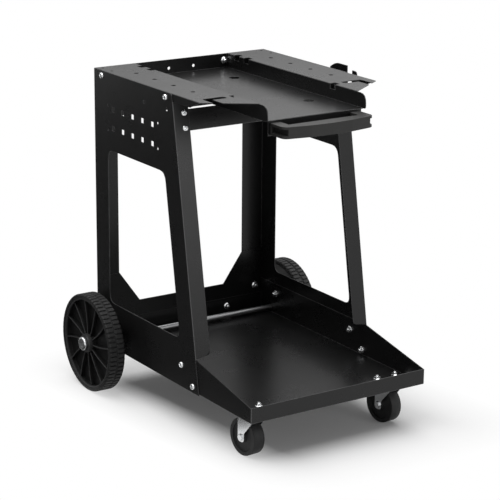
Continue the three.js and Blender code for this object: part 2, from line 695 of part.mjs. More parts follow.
/** Moulded handle: a bowed grip between two ends against the tray, with a groove round both ends. */
function handleGrip() {
  const back = TROUGH_FRONT;
  const corner = back - HANDLE_REACH;
  const plan = new THREE.Shape();
  const half = HANDLE_HALF_WIDTH;
  const bend = half - HANDLE_CORNER;
  const bow = corner - (2 * HANDLE_BOW * HANDLE_CORNER) / half;
  plan.moveTo(-half, back);
  plan.lineTo(-half, corner + HANDLE_CORNER);
  plan.quadraticCurveTo(-half, corner, -bend, bow);
  plan.quadraticCurveTo(0, 2 * (corner - HANDLE_BOW) - bow, bend, bow);
  plan.quadraticCurveTo(half, corner, half, corner + HANDLE_CORNER);
  plan.lineTo(half, back);
  const gapFront = back - FINGER_GAP;
  plan.lineTo(FINGER_GAP_HALF, back);
  plan.lineTo(FINGER_GAP_HALF, gapFront);
  plan.lineTo(-FINGER_GAP_HALF, gapFront);
  plan.lineTo(-FINGER_GAP_HALF, back);
  plan.closePath();
  const bottom = handleTop - HANDLE_HEIGHT;
  const body = sheetZ(plan, bottom, HANDLE_HEIGHT);
  const middle = handleTop - HANDLE_HEIGHT / 2;
  const tools = [];
  for (const sign of [-1, 1]) {
    const ends = [sign * (half - HANDLE_RECESS_DEPTH), sign * (half + HANDLE_RECESS_DEPTH)];
    const low = [Math.min(...ends), corner - 2 * HANDLE_BOW, middle - HANDLE_RECESS / 2];
    const high = [Math.max(...ends), back - HANDLE_RECESS_WALL, middle + HANDLE_RECESS / 2];
    tools.push(block(low, high));
    const drill = new THREE.CylinderGeometry(HOLE, HOLE, HANDLE_SCREW_LENGTH, PIN_SIDES);
    const depth = back + SHEET - HANDLE_SCREW_LENGTH / 2 - FIT;
    tools.push(drill.translate(sign * HANDLE_SCREW_HALF_SPACING, depth, middle));
  }
  return cut(body, ...tools);
}

place(cart, "handle", handleGrip(), plastic);

/** Torch hook: a back plate on the right-hand panel, a shelf, and an upturned plate with two prongs. */
function torchHook() {
  const [rearBolt, frontBolt] = hookBolts;
  const boltZ = rearBolt[1];
  const rear = rearBolt[0] + HOOK_MARGIN;
  const front = frontBolt[0] - HOOK_MARGIN;
  const shelf = boltZ - HOOK_SHELF_DROP;
  const plate = pierced(
    rectangle(front, shelf, rear, boltZ + HOOK_MARGIN, HOOK_SHEET),
    hookBolts.map(([y, z]) => circle(y, z, HOLE)),
  );
  const gapFront = front + HOOK_SHORT_PRONG;
  const gapRear = gapFront + HOOK_GAP;
  const tallRear = gapRear + HOOK_TALL_PRONG;
  const gapBottom = shelf + HOOK_RISE - HOOK_GAP_DEPTH;
  const prongs = outline([
    [front, shelf],
    [tallRear, shelf],
    [tallRear, shelf + HOOK_SHOULDER],
    [tallRear - HOOK_TALL_PRONG / 3, shelf + HOOK_RISE, HOOK_TALL_PRONG / 6],
    [gapRear, shelf + HOOK_RISE],
    [gapRear, gapBottom, HOOK_GAP / 3],
    [gapFront, gapBottom, HOOK_GAP / 3],
    [gapFront, shelf + HOOK_SHORT_RISE],
    [front, shelf + HOOK_SHORT_RISE, HOOK_SHORT_PRONG / 2],
  ]);
  const shelfPlan = rectangle(HALF, front, HALF + HOOK_REACH, tallRear);
  return join(
    sheetX(plate, HALF, HOOK_SHEET),
    sheetZ(shelfPlan, shelf, HOOK_SHEET),
    sheetX(prongs, HALF + HOOK_REACH - HOOK_SHEET, HOOK_SHEET),
  );
}

place(cart, "torch_hook", torchHook(), paint);

// Back axle and wheels, on their own axis
const axleLine = new THREE.Group();
axleLine.position.set(0, AXLE_Y, AXLE_Z);
cart.add(axleLine);

const bore = AXLE_DIAMETER / 2 + FIT;
const tyreInner = HALF + WHEEL_GAP;
const tyreOuter = tyreInner + TYRE_WIDTH;
const hubInner = HALF + SPACER_LENGTH + FIT;
const hubOuter = tyreOuter + HUB_NOSE;
const capInner = hubOuter + FIT;
const axleEnd = capInner + CAP_POCKET;

const axleRadius = AXLE_DIAMETER / 2;
const axleProfile = [
  [0, -axleEnd],
  [axleRadius, -axleEnd],
  [axleRadius, axleEnd],
  [0, axleEnd],
];
place(axleLine, "axle", turnedX(axleProfile, ROD_SIDES), zinc);

/** One curved rib between hub and rim, pointing up the wheel in (y, z). */
function ribShape(rimInner) {
  const start = HUB_DIAMETER / 2 - RIM_WALL / 2;
  const end = rimInner + RIM_WALL / 2;
  const bend = (radius) => RIB_SWEEP * radius * ((radius - start) / (end - start));
  const middle = (start + end) / 2;
  const half = RIB_WIDTH / 2;
  const shape = new THREE.Shape();
  shape.moveTo(bend(start) - half, start);
  shape.quadraticCurveTo(bend(middle) - half, middle, bend(end) - half, end);
  shape.lineTo(bend(end) + half, end);
  shape.quadraticCurveTo(bend(middle) + half, middle, bend(start) + half, start);
  shape.closePath();
  return shape;
}

/** Right-hand wheel body: hub, web, ribs and rim. */
function wheelBody() {
  const rimOuter = WHEEL_RADIUS - TYRE_DEPTH;
  const rimInner = rimOuter - RIM_WALL;
  const webOuter = tyreOuter - WEB_OFFSET;
  const webInner = webOuter - WEB_THICKNESS;
  const hub = HUB_DIAMETER / 2;
  const profile = [
    [bore, hubInner],
    [hub, hubInner],
    [hub, webInner],
    [rimInner, webInner],
    [rimInner, tyreInner + RIM_INSET],
    [rimOuter, tyreInner + RIM_INSET],
    [rimOuter, tyreOuter - RIM_INSET],
    [rimInner, tyreOuter - RIM_INSET],
    [rimInner, webOuter],
    [hub, webOuter],
    [hub, hubOuter],
    [bore, hubOuter],
    [bore, hubInner],
  ];
  const body = turnedX(profile, WHEEL_SIDES);
  const rib = sheetX(ribShape(rimInner), webOuter - WEB_THICKNESS / 2, RIB_HEIGHT + WEB_THICKNESS / 2);
  const ribs = Array.from({ length: RIB_COUNT }, (_, i) => rib.clone().rotateX((2 * Math.PI * i) / RIB_COUNT));
  return join(body, ...ribs);
}

/** Right-hand tyre: a ring with rounded shoulders, its bore just clear of the rim. */
function tyre() {
  const inner = WHEEL_RADIUS - TYRE_DEPTH + FIT;
  const shoulder = TYRE_SHOULDER;
  const profile = [
    [inner, tyreInner],
    [WHEEL_RADIUS - shoulder, tyreInner],
    [WHEEL_RADIUS - SHOULDER_CUT, tyreInner + SHOULDER_CUT],
    [WHEEL_RADIUS, tyreInner + shoulder],
    [WHEEL_RADIUS, tyreOuter - shoulder],
    [WHEEL_RADIUS - SHOULDER_CUT, tyreOuter - SHOULDER_CUT],
    [WHEEL_RADIUS - shoulder, tyreOuter],
    [inner, tyreOuter],
    [inner, tyreInner],
  ];
  return turnedX(profile, TYRE_SIDES);
}

const capRadius = CAP_DIAMETER / 2;
const capProfile = [
  [bore, capInner],
  [capRadius, capInner],
  [capRadius, capInner + CAP_RIM],
  [CAP_FACE / 2, capInner + CAP_LENGTH],
  [0, capInner + CAP_LENGTH],
  [0, axleEnd + FIT],
  [bore, axleEnd + FIT],
  [bore, capInner],
];
const spacerProfile = ringProfile(bore, bore + SPACER_WALL, HALF, HALF + SPACER_LENGTH);
const wheelParts = {
  axle_spacer: [turnedX(spacerProfile, ROD_SIDES), zinc],
  wheel: [wheelBody(), plastic],
  tyre: [tyre(), rubber],
  hub_cap: [turnedX(capProfile, CAP_SIDES), zinc],
};
for (const [side, sign] of Object.entries(SIDES)) {
  for (const [part, [geometry, material]] of Object.entries(wheelParts)) {
    place(axleLine, `${side}_${part}`, geometry, material).scale.x = sign;
  }
}

// Casters, each about its own swivel axis with z measured from the floor
const plateBottom = TRAY_BOTTOM - CASTER_PLATE_THICKNESS;
const raceBottom = plateBottom - RACE_HEIGHT;
const crownBottom = raceBottom - FIT - FORK_SHEET;
const CASTER_WHEEL_DIAMETER = crownBottom - CASTER_HEADROOM;
const casterRadius = CASTER_WHEEL_DIAMETER / 2;
const FORK_FOLD = FORK_SHEET / 4; // how far crown, bridge and legs of the fork run into each other
const forkInside = CASTER_WHEEL_WIDTH / 2 + FORK_CLEARANCE;
const kingpinRadius = KINGPIN_DIAMETER / 2;
const kingpinBore = kingpinRadius + FIT;

/** Mounting plate with four bolt holes and the kingpin hole. */
function casterPlate() {
  const half = CASTER_PLATE_SIZE / 2;
  const holes = casterBolts.map(([x, y]) => circle(x, y, HOLE));
  const plan = pierced(rectangle(-half, -half, half, half, half / 4), [...holes, circle(0, 0, kingpinBore)]);
  return sheetZ(plan, plateBottom, CASTER_PLATE_THICKNESS);
}

/** Kingpin rivet: shank through plate, race and fork, with its head under the fork. */
function kingpin() {
  const headTop = crownBottom - FORK_FOLD - FIT;
  return turnedZ(
    [
      [0, headTop - KINGPIN_HEAD_HEIGHT],
      [KINGPIN_HEAD / 2, headTop - KINGPIN_HEAD_HEIGHT],
      [KINGPIN_HEAD / 2, headTop],
      [kingpinRadius, headTop],
      [kingpinRadius, TRAY_BOTTOM - FIT],
      [0, TRAY_BOTTOM - FIT],
    ],
    CAP_SIDES,
  );
}

/** Fork: a round crown and two legs that trail back to the wheel's axle. */
function fork() {
  const top = crownBottom + FORK_SHEET - 2 * FORK_FOLD;
  const leg = outline([
    [-FORK_FRONT, top],
    [-FORK_FRONT, crownBottom - FORK_SHEET],
    [CASTER_TRAIL - FORK_TIP, casterRadius + FORK_TIP],
    [CASTER_TRAIL - FORK_TIP, casterRadius - FORK_TIP, FORK_TIP_ROUNDING],
    [CASTER_TRAIL + FORK_TIP, casterRadius - FORK_TIP, FORK_TIP_ROUNDING],
    [CASTER_TRAIL + FORK_TIP, top],
  ]);
  const axleHole = CASTER_AXLE_DIAMETER / 2 + FIT;
  const pierce = () => pierced(leg.clone(), [circle(CASTER_TRAIL, casterRadius, axleHole)]);
  const width = forkInside + FORK_SHEET;
  const front = FORK_FOLD - FORK_FRONT;
  const bridge = rectangle(FORK_FOLD - width, front, width - FORK_FOLD, CASTER_TRAIL + FORK_TIP - FORK_FOLD);
  const crownProfile = ringProfile(kingpinBore, FORK_CROWN, crownBottom, crownBottom + FORK_SHEET);
  const crown = turnedZ(crownProfile, CROWN_SIDES);
  const plate = sheetZ(pierced(bridge, [circle(0, 0, kingpinBore + FIT)]), crownBottom - FORK_FOLD, FORK_SHEET);
  return join(crown, plate, sheetX(pierce(), forkInside, FORK_SHEET), sheetX(pierce(), -width, FORK_SHEET));
}

/** Caster wheel about its own axle, dished on both sides. */
function casterWheel() {
  const half = CASTER_WHEEL_WIDTH / 2;
  const hub = CASTER_HUB_DIAMETER / 2;
  const wheelBore = CASTER_AXLE_DIAMETER / 2 + FIT;
  const dish = half - CASTER_RECESS;
  const edge = CASTER_RECESS / 2;
  const ring = casterRadius - CASTER_RIM;
  const profile = [
    [wheelBore, -half],
    [hub, -half],
    [hub, -dish],
    [ring, -dish],
    [ring, -half],
    [casterRadius - edge, -half],
    [casterRadius, -half + edge],
    [casterRadius, half - edge],
    [casterRadius - edge, half],
    [ring, half],
    [ring, dish],
    [hub, dish],
    [hub, half],
    [wheelBore, half],
    [wheelBore, -half],
  ];
  return turnedX(profile, CASTER_SIDES);
}

/** Caster axle: a bolt through the fork with a head at one end and a nut at the other. */
function casterAxle() {
  const outside = forkInside + FORK_SHEET;
  const head = CASTER_AXLE_HEAD / 2;
  const shank = CASTER_AXLE_DIAMETER / 2;
  const end = outside + CASTER_AXLE_HEAD_HEIGHT;
  return turnedX(
    [
      [0, -end],
      [head, -end],
      [head, -outside],
      [shank, -outside],
      [shank, outside],
      [head, outside],
      [head, end],
      [0, end],
    ],
    PIN_SIDES,
  );
}

const plateGeometry = casterPlate();
const raceProfile = ringProfile(kingpinBore, RACE_DIAMETER / 2, raceBottom, plateBottom);
const raceGeometry = turnedZ(raceProfile, ROD_SIDES);
const kingpinGeometry = kingpin();
const forkGeometry = fork();
const casterWheelGeometry = casterWheel().translate(0, CASTER_TRAIL, casterRadius);
const casterAxleGeometry = casterAxle().translate(0, CASTER_TRAIL, casterRadius);
const casterBoltGeometry = boltAndNut(CASTER_PLATE_THICKNESS + SHEET);
for (const [side, sign] of Object.entries(SIDES)) {
  const caster = new THREE.Group();
  caster.position.set((sign * CASTER_SPACING) / 2, FRONT + CASTER_SETBACK, 0);
  cart.add(caster);
  place(caster, `${side}_caster_plate`, plateGeometry, zinc);
  place(caster, `${side}_caster_race`, raceGeometry, zinc);
  place(caster, `${side}_caster_kingpin`, kingpinGeometry, zinc);
  casterBolts.forEach(([x, y], i) => {
    fasten(caster, `${side}_caster_bolt_${i + 1}`, casterBoltGeometry, [x, y, plateBottom], [0, 0, -1]);
  });
  const swivel = new THREE.Group();
  swivel.rotation.z = CASTER_TURN;
  caster.add(swivel);
  place(swivel, `${side}_caster_fork`, forkGeometry, zinc);
  place(swivel, `${side}_caster_wheel`, casterWheelGeometry, rubber);
  place(swivel, `${side}_caster_axle`, casterAxleGeometry, zinc);
}

// Bolts through the sheets, heads outwards
const sheetBolt = boltAndNut(2 * SHEET);
const slantedBolt = boltAndNut(2 * SHEET + 3 * FIT);
const hookBolt = boltAndNut(HOOK_SHEET + SHEET);
for (const [side, sign] of Object.entries(SIDES)) {
  ["rear", "front"].forEach((end, i) => {
    fasten(cart, `${side}_top_bolt_${end}`, sheetBolt, [sign * HALF, ...topBolts[i]], [sign, 0, 0]);
  });
  TRAY_BOLTS.forEach(([end], i) => {
    fasten(cart, `${side}_tray_bolt_${end}`, sheetBolt, [sign * HALF, ...trayBolts[i]], [sign, 0, 0]);
  });
  ["upper", "lower"].forEach((end, i) => {
    const seat = [sign * crossBoltX, alongLeg(crossBoltHeights[i]), FIT];
    fasten(legPlane, `${side}_cross_plate_bolt_${end}`, slantedBolt, seat, [0, 0, 1]);
  });
  const backSeat = [sign * (HALF - BACK_BOLT_INSET), BACK, PANEL_BOTTOM + BACK_BOLT_RISE];
  fasten(cart, `${side}_rear_panel_bolt`, sheetBolt, backSeat, [0, 1, 0]);
  const traySeat = [sign * trayBackBoltX, BACK - SHEET, TRAY_BOTTOM + TRAY_BACK_BOLT_RISE];
  fasten(cart, `${side}_tray_rear_bolt`, sheetBolt, traySeat, [0, 1, 0]);
  const handleSeat = [sign * HANDLE_SCREW_HALF_SPACING, TROUGH_FRONT + SHEET, handleTop - HANDLE_HEIGHT / 2];
  fasten(cart, `handle_screw_${side}`, screw(HANDLE_SCREW_LENGTH), handleSeat, [0, 1, 0]);
}
["rear", "front"].forEach((end, i) => {
  fasten(cart, `hook_bolt_${end}`, hookBolt, [HALF + HOOK_SHEET, ...hookBolts[i]], [1, 0, 0]);
});

export default cart;
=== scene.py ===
"""Looks of a two-shelf welding cart: powder coated sheet, moulded plastic, rubber and zinc plate.

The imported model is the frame. Sheet pieces keep their solids and get edges and a finish; round and
moulded pieces are worked out again as smooth surfaces in the places that the solids hold.
"""

import json
import math

import bmesh
import bpy
import numpy as np
from bpy.props import FloatProperty, FloatVectorProperty, IntProperty, PointerProperty
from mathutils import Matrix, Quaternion, Vector


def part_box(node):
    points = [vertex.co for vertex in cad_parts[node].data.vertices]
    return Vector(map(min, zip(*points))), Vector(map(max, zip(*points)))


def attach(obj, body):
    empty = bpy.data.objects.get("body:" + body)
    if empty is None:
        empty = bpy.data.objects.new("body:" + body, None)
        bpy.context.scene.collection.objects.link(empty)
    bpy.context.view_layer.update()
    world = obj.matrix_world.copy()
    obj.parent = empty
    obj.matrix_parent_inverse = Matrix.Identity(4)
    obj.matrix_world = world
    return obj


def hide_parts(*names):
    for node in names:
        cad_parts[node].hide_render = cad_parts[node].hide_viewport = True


bl_info = {
    "name": "Welding cart looks",
    "version": (1, 0, 0),
    "blender": (4, 5, 0),
    "location": "View3D > Sidebar > Cart",
    "description": "Dresses the packed welding cart with its finishes and its moulded and turned pieces",
    "category": "Object",
}

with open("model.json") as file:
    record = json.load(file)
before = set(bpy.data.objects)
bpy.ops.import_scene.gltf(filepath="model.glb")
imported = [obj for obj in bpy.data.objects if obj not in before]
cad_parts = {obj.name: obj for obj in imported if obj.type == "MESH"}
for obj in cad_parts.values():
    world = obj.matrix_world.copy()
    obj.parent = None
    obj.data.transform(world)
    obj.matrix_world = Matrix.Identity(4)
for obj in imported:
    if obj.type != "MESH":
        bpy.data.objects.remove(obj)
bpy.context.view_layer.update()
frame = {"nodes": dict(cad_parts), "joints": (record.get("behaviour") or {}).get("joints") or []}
JOINTS = {joint["name"]: joint for joint in frame["joints"]}
SIDES = {"left": -1, "right": 1}
MERGE = 1e-7  # points of a piece that lie this close are one
WELD = 1e-5  # and so are those of a solid
ROUNDED_FROM = math.radians(30)  # edges of a solid that turn by more get rounded
SHARP_FROM = 38.0  # edges of a piece that turn by more degrees stay sharp
CAP_SHARP_FROM = 50.0
SHEET_STEPS = 2  # steps round the edges of sheet, plates and forks
HANDLE_STEPS = 3
CORNER_SHARE = 0.45  # most of an edge that a rounded corner takes
ACROSS = np.array([0, 1, 1])  # drops the X of a place
SHEET_NODES = (
    "left_side_panel",
    "right_side_panel",
    "top_tray",
    "front_cross_plate",
    "lower_tray",
    "rear_panel",
    "torch_hook",
)
BOLTS = {
    "panel": ("top_bolt_rear", "top_bolt_front", "tray_bolt_rear", "tray_bolt_middle", "tray_bolt_front"),
    "back": ("rear_panel_bolt", "tray_rear_bolt"),
    "leg": ("cross_plate_bolt_upper", "cross_plate_bolt_lower"),
    "caster": tuple(f"caster_bolt_{i}" for i in range(1, 5)),
}

# Points round the turned and swept surfaces
TYRE_SECTION = 84
LUG_STEPS = 10  # round the tyre, for each lug
RIB_STEPS = 14
WHEEL_SIDES = 144
CASTER_SIDES = 96
PRESSED_SIDES = 64  # caps and ball races
ROD_SIDES = 48
PIN_SIDES = 32
HEAD_SIDES = 48
CROSS_STEPS = 13  # from the middle of a screw's head out
RIM_STEPS = 9
HEXAGON_SIDES = 60
THREAD_SIDES = 16
THREAD_STEPS = 6  # along the thread, for each turn
FEWEST_STEPS = 12  # along a short thread
SHOULDER_STEPS = 10
BEND_STEPS = 12

# Tyres and wheels
LUG_RAMP = 0.08  # side of a lug, as a share of the pitch
GROOVE_FLOOR, GROOVE_TOP = 0.6, 1.4  # sides of the centre groove, as shares of its half width
TREAD_START, TREAD_FULL = 1.3, 0.5  # where the tread fades in, as shares of the shoulder
RING_PLACE = 0.3  # ring in the sidewall, as shares of the tyre's depth
RING_WIDTH = 0.1
SIDEWALL_FROM = 0.9  # share of the half width
RIB_ROUNDING = 0.45  # share of a rib's width
TREAD_BAND = 0.001  # metres below a caster wheel's radius that are tread

# Screws, as shares of their head, cross or nut
CROSS_FACE = 0.62  # inner part of the head, with the cross
RIM_FACE = 0.68
CROSS_SOFTNESS = 0.3
SHANK_RUN = 0.3  # shank inside the head
CHAMFER = 0.12
CROSS_TURN = 2.4  # radians from the cross of one screw to that of the next

# Pressed caps, as shares of their radius or height
CAP_FACE = 0.62  # face inside the shoulder
CAP_DISH = 0.5  # edge of the dimple
CAP_DISH_FOOT = 0.42  # foot of the dimple's slope
CAP_FOOT = 0.97
CAP_SKIRT = 0.5  # straight skirt below the shoulder
CAP_DIP = 0.1  # dimple at the foot of its slope
CAP_DIP_MIDDLE = 0.14
CAP_CUT = 0.06

# Rods, races and hexagons
ROD_CUT = 0.12  # share of the rod's radius
RACE_BORE = 0.3  # share of the race's radius
RACE_ROUNDING = 0.7  # share of half the race's height
SPACER_EDGE = 0.0005  # metres
HEXAGON_BORE = 0.96  # against the rod inside it
HEXAGON_REACH = 0.999  # against the end of the rod

# Cards that only reflections show, in metres from the floor under the cart
SIDE_NEAR = 0.265  # near edge of the side card
SIDE_FAR = 1.3  # where it bends up
SIDE_BEND = 0.4  # radius of that bend
SIDE_LIFT = 0.004
SIDE_TOP = 1.6
SIDE_RUN = (-0.16, 2.8)  # front and back end
REAR_BACK = 1.5  # rear card behind the middle
REAR_LIFT = 0.02
REAR_TOP = 0.95
REAR_RUN = (-2.4, 0.6)  # right and left end, counted to the left

# Lamps and camera, in metres
LAMP_SIZE = (3.4, 3.4)
LAMP_PLACE = (-0.3, 0.1, 2.6)
LAMP_AIM = (-0.3, 0.1, 0.0)
FILL_SIZE = (0.8, 0.9)
FILL_PLACE = (0.95, -2.5, 0.8)
FILL_AIM = (0.0, 0.0, 0.4)
SENSOR = 36.0  # millimetres


def length(name, description, default):
    """A size in metres that a user may change."""
    return FloatProperty(
        name=name, description=description, default=default, min=0.0, precision=5, unit="LENGTH"
    )


def number(name, description, default):
    """A plain number that a user may change."""
    return FloatProperty(name=name, description=description, default=default)


def rotation(name, description, default):
    """An angle in radians that a user may change."""
    return FloatProperty(name=name, description=description, default=default, subtype="ANGLE")


def point(name, description, default):
    """A place in metres that a user may change."""
    return FloatVectorProperty(name=name, description=description, default=default, subtype="TRANSLATION")


def colour(name, description, default):
    """A colour that a user may change."""
    return FloatVectorProperty(
        name=name, description=description, default=default, size=3, min=0.0, max=1.0, subtype="COLOR"
    )


class FinishSettings(bpy.types.PropertyGroup):
    """Colours of the finishes, and the rounding of edges."""

    coat: colour("Powder coat", "Black paint of the sheet pieces", (0.0045, 0.0045, 0.0046))
    plastic: colour("Plastic", "Moulded handle", (0.0105, 0.0103, 0.0098))
    wheel: colour("Wheel plastic", "Moulded wheels", (0.0042, 0.0042, 0.0043))
    tyre: colour("Tyre", "Rubber of the rear tyres", (0.0048, 0.0048, 0.0049))
    caster: colour("Caster rubber", "Rubber of the front casters", (0.0065, 0.0065, 0.0066))
    zinc: colour("Zinc", "Plated fasteners, axle and casters", (0.8, 0.81, 0.82))
    sheet_edge: length("Sheet edge", "Rounding along the cut edges of the sheet", 0.0006)
    handle_edge: length("Handle edge", "Rounding along the edges of the handle", 0.0024)
    # The gain below lightens the coat on the rounded edges: a painted highlight along the cut edges and
    # folds.
    edge_highlight_gain: number("Edge gain", "Edges of the coat against its faces", 11.0)
    # Grey painted on the tops of the wheel ribs, from a set distance out from the middle of the cart: a
    # painted highlight.
    rib_highlight: colour("Crests", "Rubbed crests of the wheel ribs", (0.03, 0.03, 0.0305))
    rib_highlight_start: length("Crest start", "Middle of the cart to where the ribs turn grey", 0.2438)
    rib_highlight_run: length("Crest run", "Run over which they turn grey", 0.0012)
    fork_edge: length("Fork edge", "Rounding along the edges of the caster plates and forks", 0.0005)


class TyreSettings(bpy.types.PropertyGroup):
    """Tread and sidewall of the rear tyres."""

    lugs: IntProperty(name="Lugs", description="Tread lugs round one row", default=64, min=8)
    lug_depth: length("Lug depth", "Depth of the grooves between lugs", 0.0026)
    lug_share: number("Groove share", "Part of the pitch that is groove", 0.38)
    centre_groove: length("Centre groove", "Half width of the groove between the rows", 0.0016)
    shoulder: length("Shoulder", "Rounding between tread and sidewall", 0.0024)
    wall_step: length("Sidewall step", "Depth of the ring pressed into the sidewall", 0.0007)


class WheelSettings(bpy.types.PropertyGroup):
    """Rim, web and ribs of the rear wheels."""

    hub: length("Hub radius", "Outside of the hub", 0.019)
    bore: length("Bore radius", "Hole for the axle", 0.0063)
    rim_wall: length("Rim wall", "Thickness of the rim", 0.0035)
    rim_inset: length("Rim inset", "Side of the tyre to the edge of the rim", 0.0015)
    web: length("Web", "Thickness of the web", 0.004)
    web_offset: length("Web offset", "Outer side of the tyre to the web", 0.012)
    ribs: IntProperty(name="Ribs", description="Ribs on the web", default=12, min=3)
    rib_width: length("Rib width", "Thickness of a rib", 0.0022)
    rib_height: length("Rib height", "Height of a rib above the web", 0.008)
    rib_sweep: rotation("Rib sweep", "Angle along a rib", 0.14)
    fillet: length("Fillet", "Rounding of the moulded corners", 0.0008)


class BoltSettings(bpy.types.PropertyGroup):
    """Pan-head screws and their nuts."""

    radius: length("Shank radius", "Outside of the thread", 0.003)
    pitch: length("Pitch", "Run of the thread in one turn", 0.001)
    thread: length("Thread depth", "Depth of the thread", 0.0005)
    head: length("Head radius", "Outside of the pan head", 0.006)
    head_height: length("Head height", "Height of the pan head", 0.0036)
    cross_reach: length("Cross reach", "Middle of the head to the end of the cross", 0.0033)
    cross_width: length("Cross width", "Half width of an arm of the cross", 0.0007)
    cross_depth: length("Cross depth", "Depth of the cross", 0.0017)
    nut: length("Nut radius", "Nut across its corners, halved", 0.00575)
    nut_height: length("Nut height", "Height of the nut", 0.005)
    skirt: length("Skirt radius", "Flange that the nut seats on", 0.00725)
    skirt_edge: length("Skirt edge", "Height of the flange's rim", 0.0008)
    skirt_height: length("Skirt height", "Seat to the top of the flange's slope", 0.0022)
    tip: length("Tip", "Thread past the nut", 0.003)
    lean: number("Lean", "Forward run of the front legs for each unit down", 0.17)
    wall_grip: length("Wall grip", "Sheet under the nuts of the back wall", 0.0015)
    wall_spacing: length("Wall spacing", "Between the screws of the back wall", 0.2048)
    wall_height: length("Wall height", "Floor to the screws of the back wall", 0.637)


class CasterSettings(bpy.types.PropertyGroup):
    """Wheels and axles of the front casters."""

    rim: length("Rim", "Width of the tread ring round the dish", 0.009)
    hub: length("Hub radius", "Outside of the hub", 0.011)
    bore: length("Bore radius", "Hole for the axle bolt", 0.00424)
    recess: length("Recess", "Depth of the dish", 0.003)
    crown: length("Crown", "Drop of the tread at its sides", 0.001575)
    crown_power: IntProperty(name="Crown power", description="How late the tread drops", default=6)
    fillet: length("Fillet", "Rounding of the moulded corners", 0.0012)
    axle: length("Axle radius", "Shank of the axle bolt", 0.004)
    head: length("Head height", "Height of the axle's hexagons", 0.003)


class StageSettings(bpy.types.PropertyGroup):
    """Camera, floor, lamps and cards."""

    eye: point("Eye", "Place of the camera", (-1.9839, -3.0094, 1.3669))
    aim: point("Aim", "Point in the middle of the view", (-0.0005, -0.006, 0.3117))
    roll: rotation("Roll", "Turn about the view", math.radians(0.47))
    lens: number("Lens", "Focal length in millimetres", 137.78)
    floor: length("Floor", "Half width of the floor", 30.0)
    floor_colour: colour("Floor colour", "Pale floor", (0.93, 0.93, 0.93))
    shade_width: length("Shade width", "Half width of the floor that shows its shade alone", 0.16)
    shade_shift: length("Shade shift", "Middle of the cart to the middle of that floor", 0.04)
    shade_skew: number("Shade skew", "Run of that floor to the left for each unit back", 0.12)
    shade_depth: length("Shade depth", "Half depth of the floor that shows its shade alone", 0.31)
    shade_fade: length("Shade fade", "Run over which the floor then turns white", 0.16)
    shade_lift: number("Shade lift", "Least share of white on the floor", 0.05)
    sky: number("Sky", "Level of the light from all round", 0.22)
    lamp: number("Lamp", "Power of the soft lamp overhead", 95.0)
    fill: number("Fill", "Power of the soft lamp in front", 5.7)
    side_card: number("Side card", "Grey of the card beside the cart", 0.05)
    rear_card: number("Rear card", "Grey of the low card behind the cart", 0.3)


class Value:
    """A socket whose arithmetic adds Math nodes."""

    def __init__(self, graph, socket):
        self.graph = graph
        self.socket = socket

    def _join(self, operation, first, second):
        made = self.graph.node("ShaderNodeMath", {"operation": operation}, {0: first, 1: second})
        return Value(self.graph, made.outputs[0])

    def __add__(self, other):
        return self._join("ADD", self, other)

    def __sub__(self, other):
        return self._join("SUBTRACT", self, other)

    def __rsub__(self, other):
        return self._join("SUBTRACT", other, self)

    def __mul__(self, other):
        return self._join("MULTIPLY", self, other)

    def __pow__(self, other):
        return self._join("POWER", self, other)

    def __truediv__(self, other):
        return self._join("DIVIDE", self, other)

    def size(self):
        """The value without its sign."""
        return self._join("MAXIMUM", self, 0.0 - self)

    def at_most(self, other):
        """The smaller of two values."""
        return self._join("MINIMUM", self, other)

    def at_least(self, other):
        """The larger of two values."""
        return self._join("MAXIMUM", self, other)

    __radd__ = __add__
    __rmul__ = __mul__


class Graph:
    """A node tree that is written as expressions."""

    def __init__(self, owner):
        owner.use_nodes = True
        self.tree = owner.node_tree

    def node(self, kind, settings=None, inputs=None):
        """Adds a node, sets it, then gives its sockets their values or links."""
        made = self.tree.nodes.new(kind)
        for key, value in (settings or {}).items():
            setattr(made, key, value)
        for key, value in (inputs or {}).items():
            self.feed(made.inputs[key], value)
        return made

    def feed(self, socket, value):
        """Links a socket or a Value, or sets a plain number or colour."""
        if isinstance(value, Value):
            value = value.socket
        if isinstance(value, bpy.types.NodeSocket):
            self.tree.links.new(value, socket)
        else:
            socket.default_value = value

    def seen(self):
        """1 for what the camera sees straight, mirrored or through glass, and 0 for other light."""
        rays = self.node("ShaderNodeLightPath").outputs
        straight, mirrored, through = (
            Value(self, rays[name]) for name in ("Is Camera Ray", "Is Glossy Ray", "Is Transmission Ray")
        )
        return (straight + mirrored + through).at_most(1.0)


class Finish(Graph):
    """A material on Object coordinates, with constants set on the shader itself."""

    def __init__(self, name, **constants):
        self.material = bpy.data.materials.new(name)
        super().__init__(self.material)
        self.shader = self.tree.nodes["Principled BSDF"]
        self.where = self.node("ShaderNodeTexCoord").outputs["Object"]
        for key, value in constants.items():
            self.shader.inputs[key.replace("_", " ")].default_value = value

    def noise(self, scale, detail=2.0):
        """Noise from 0 to 1 with a scale in cycles to the metre."""
        inputs = {"Vector": self.where, "Scale": scale, "Detail": detail}
        return Value(self, self.node("ShaderNodeTexNoise", None, inputs).outputs["Fac"])

    def parts(self):
        """The three Object coordinates."""
        split = self.node("ShaderNodeSeparateXYZ", None, {0: self.where})
        return [Value(self, part) for part in split.outputs]

    def tint(self, factor, first, second):
        """Colour between two colours."""
        inputs = {"Factor": factor, 6: (*first, 1.0), 7: (*second, 1.0)}
        mix = self.node("ShaderNodeMix", {"data_type": "RGBA"}, inputs)
        self.feed(self.shader.inputs["Base Color"], mix.outputs[2])

    def rough(self, value):
        """Roughness over the surface."""
        self.feed(self.shader.inputs["Roughness"], value)

    def relief(self, height, strength, distance):
        """Bump from a height."""
        inputs = {"Height": height, "Strength": strength, "Distance": distance}
        bump = self.node("ShaderNodeBump", None, inputs)
        self.feed(self.shader.inputs["Normal"], bump.outputs["Normal"])


def lighter(shade, gain):
    """A colour times a number."""
    return tuple(gain * part for part in shade)


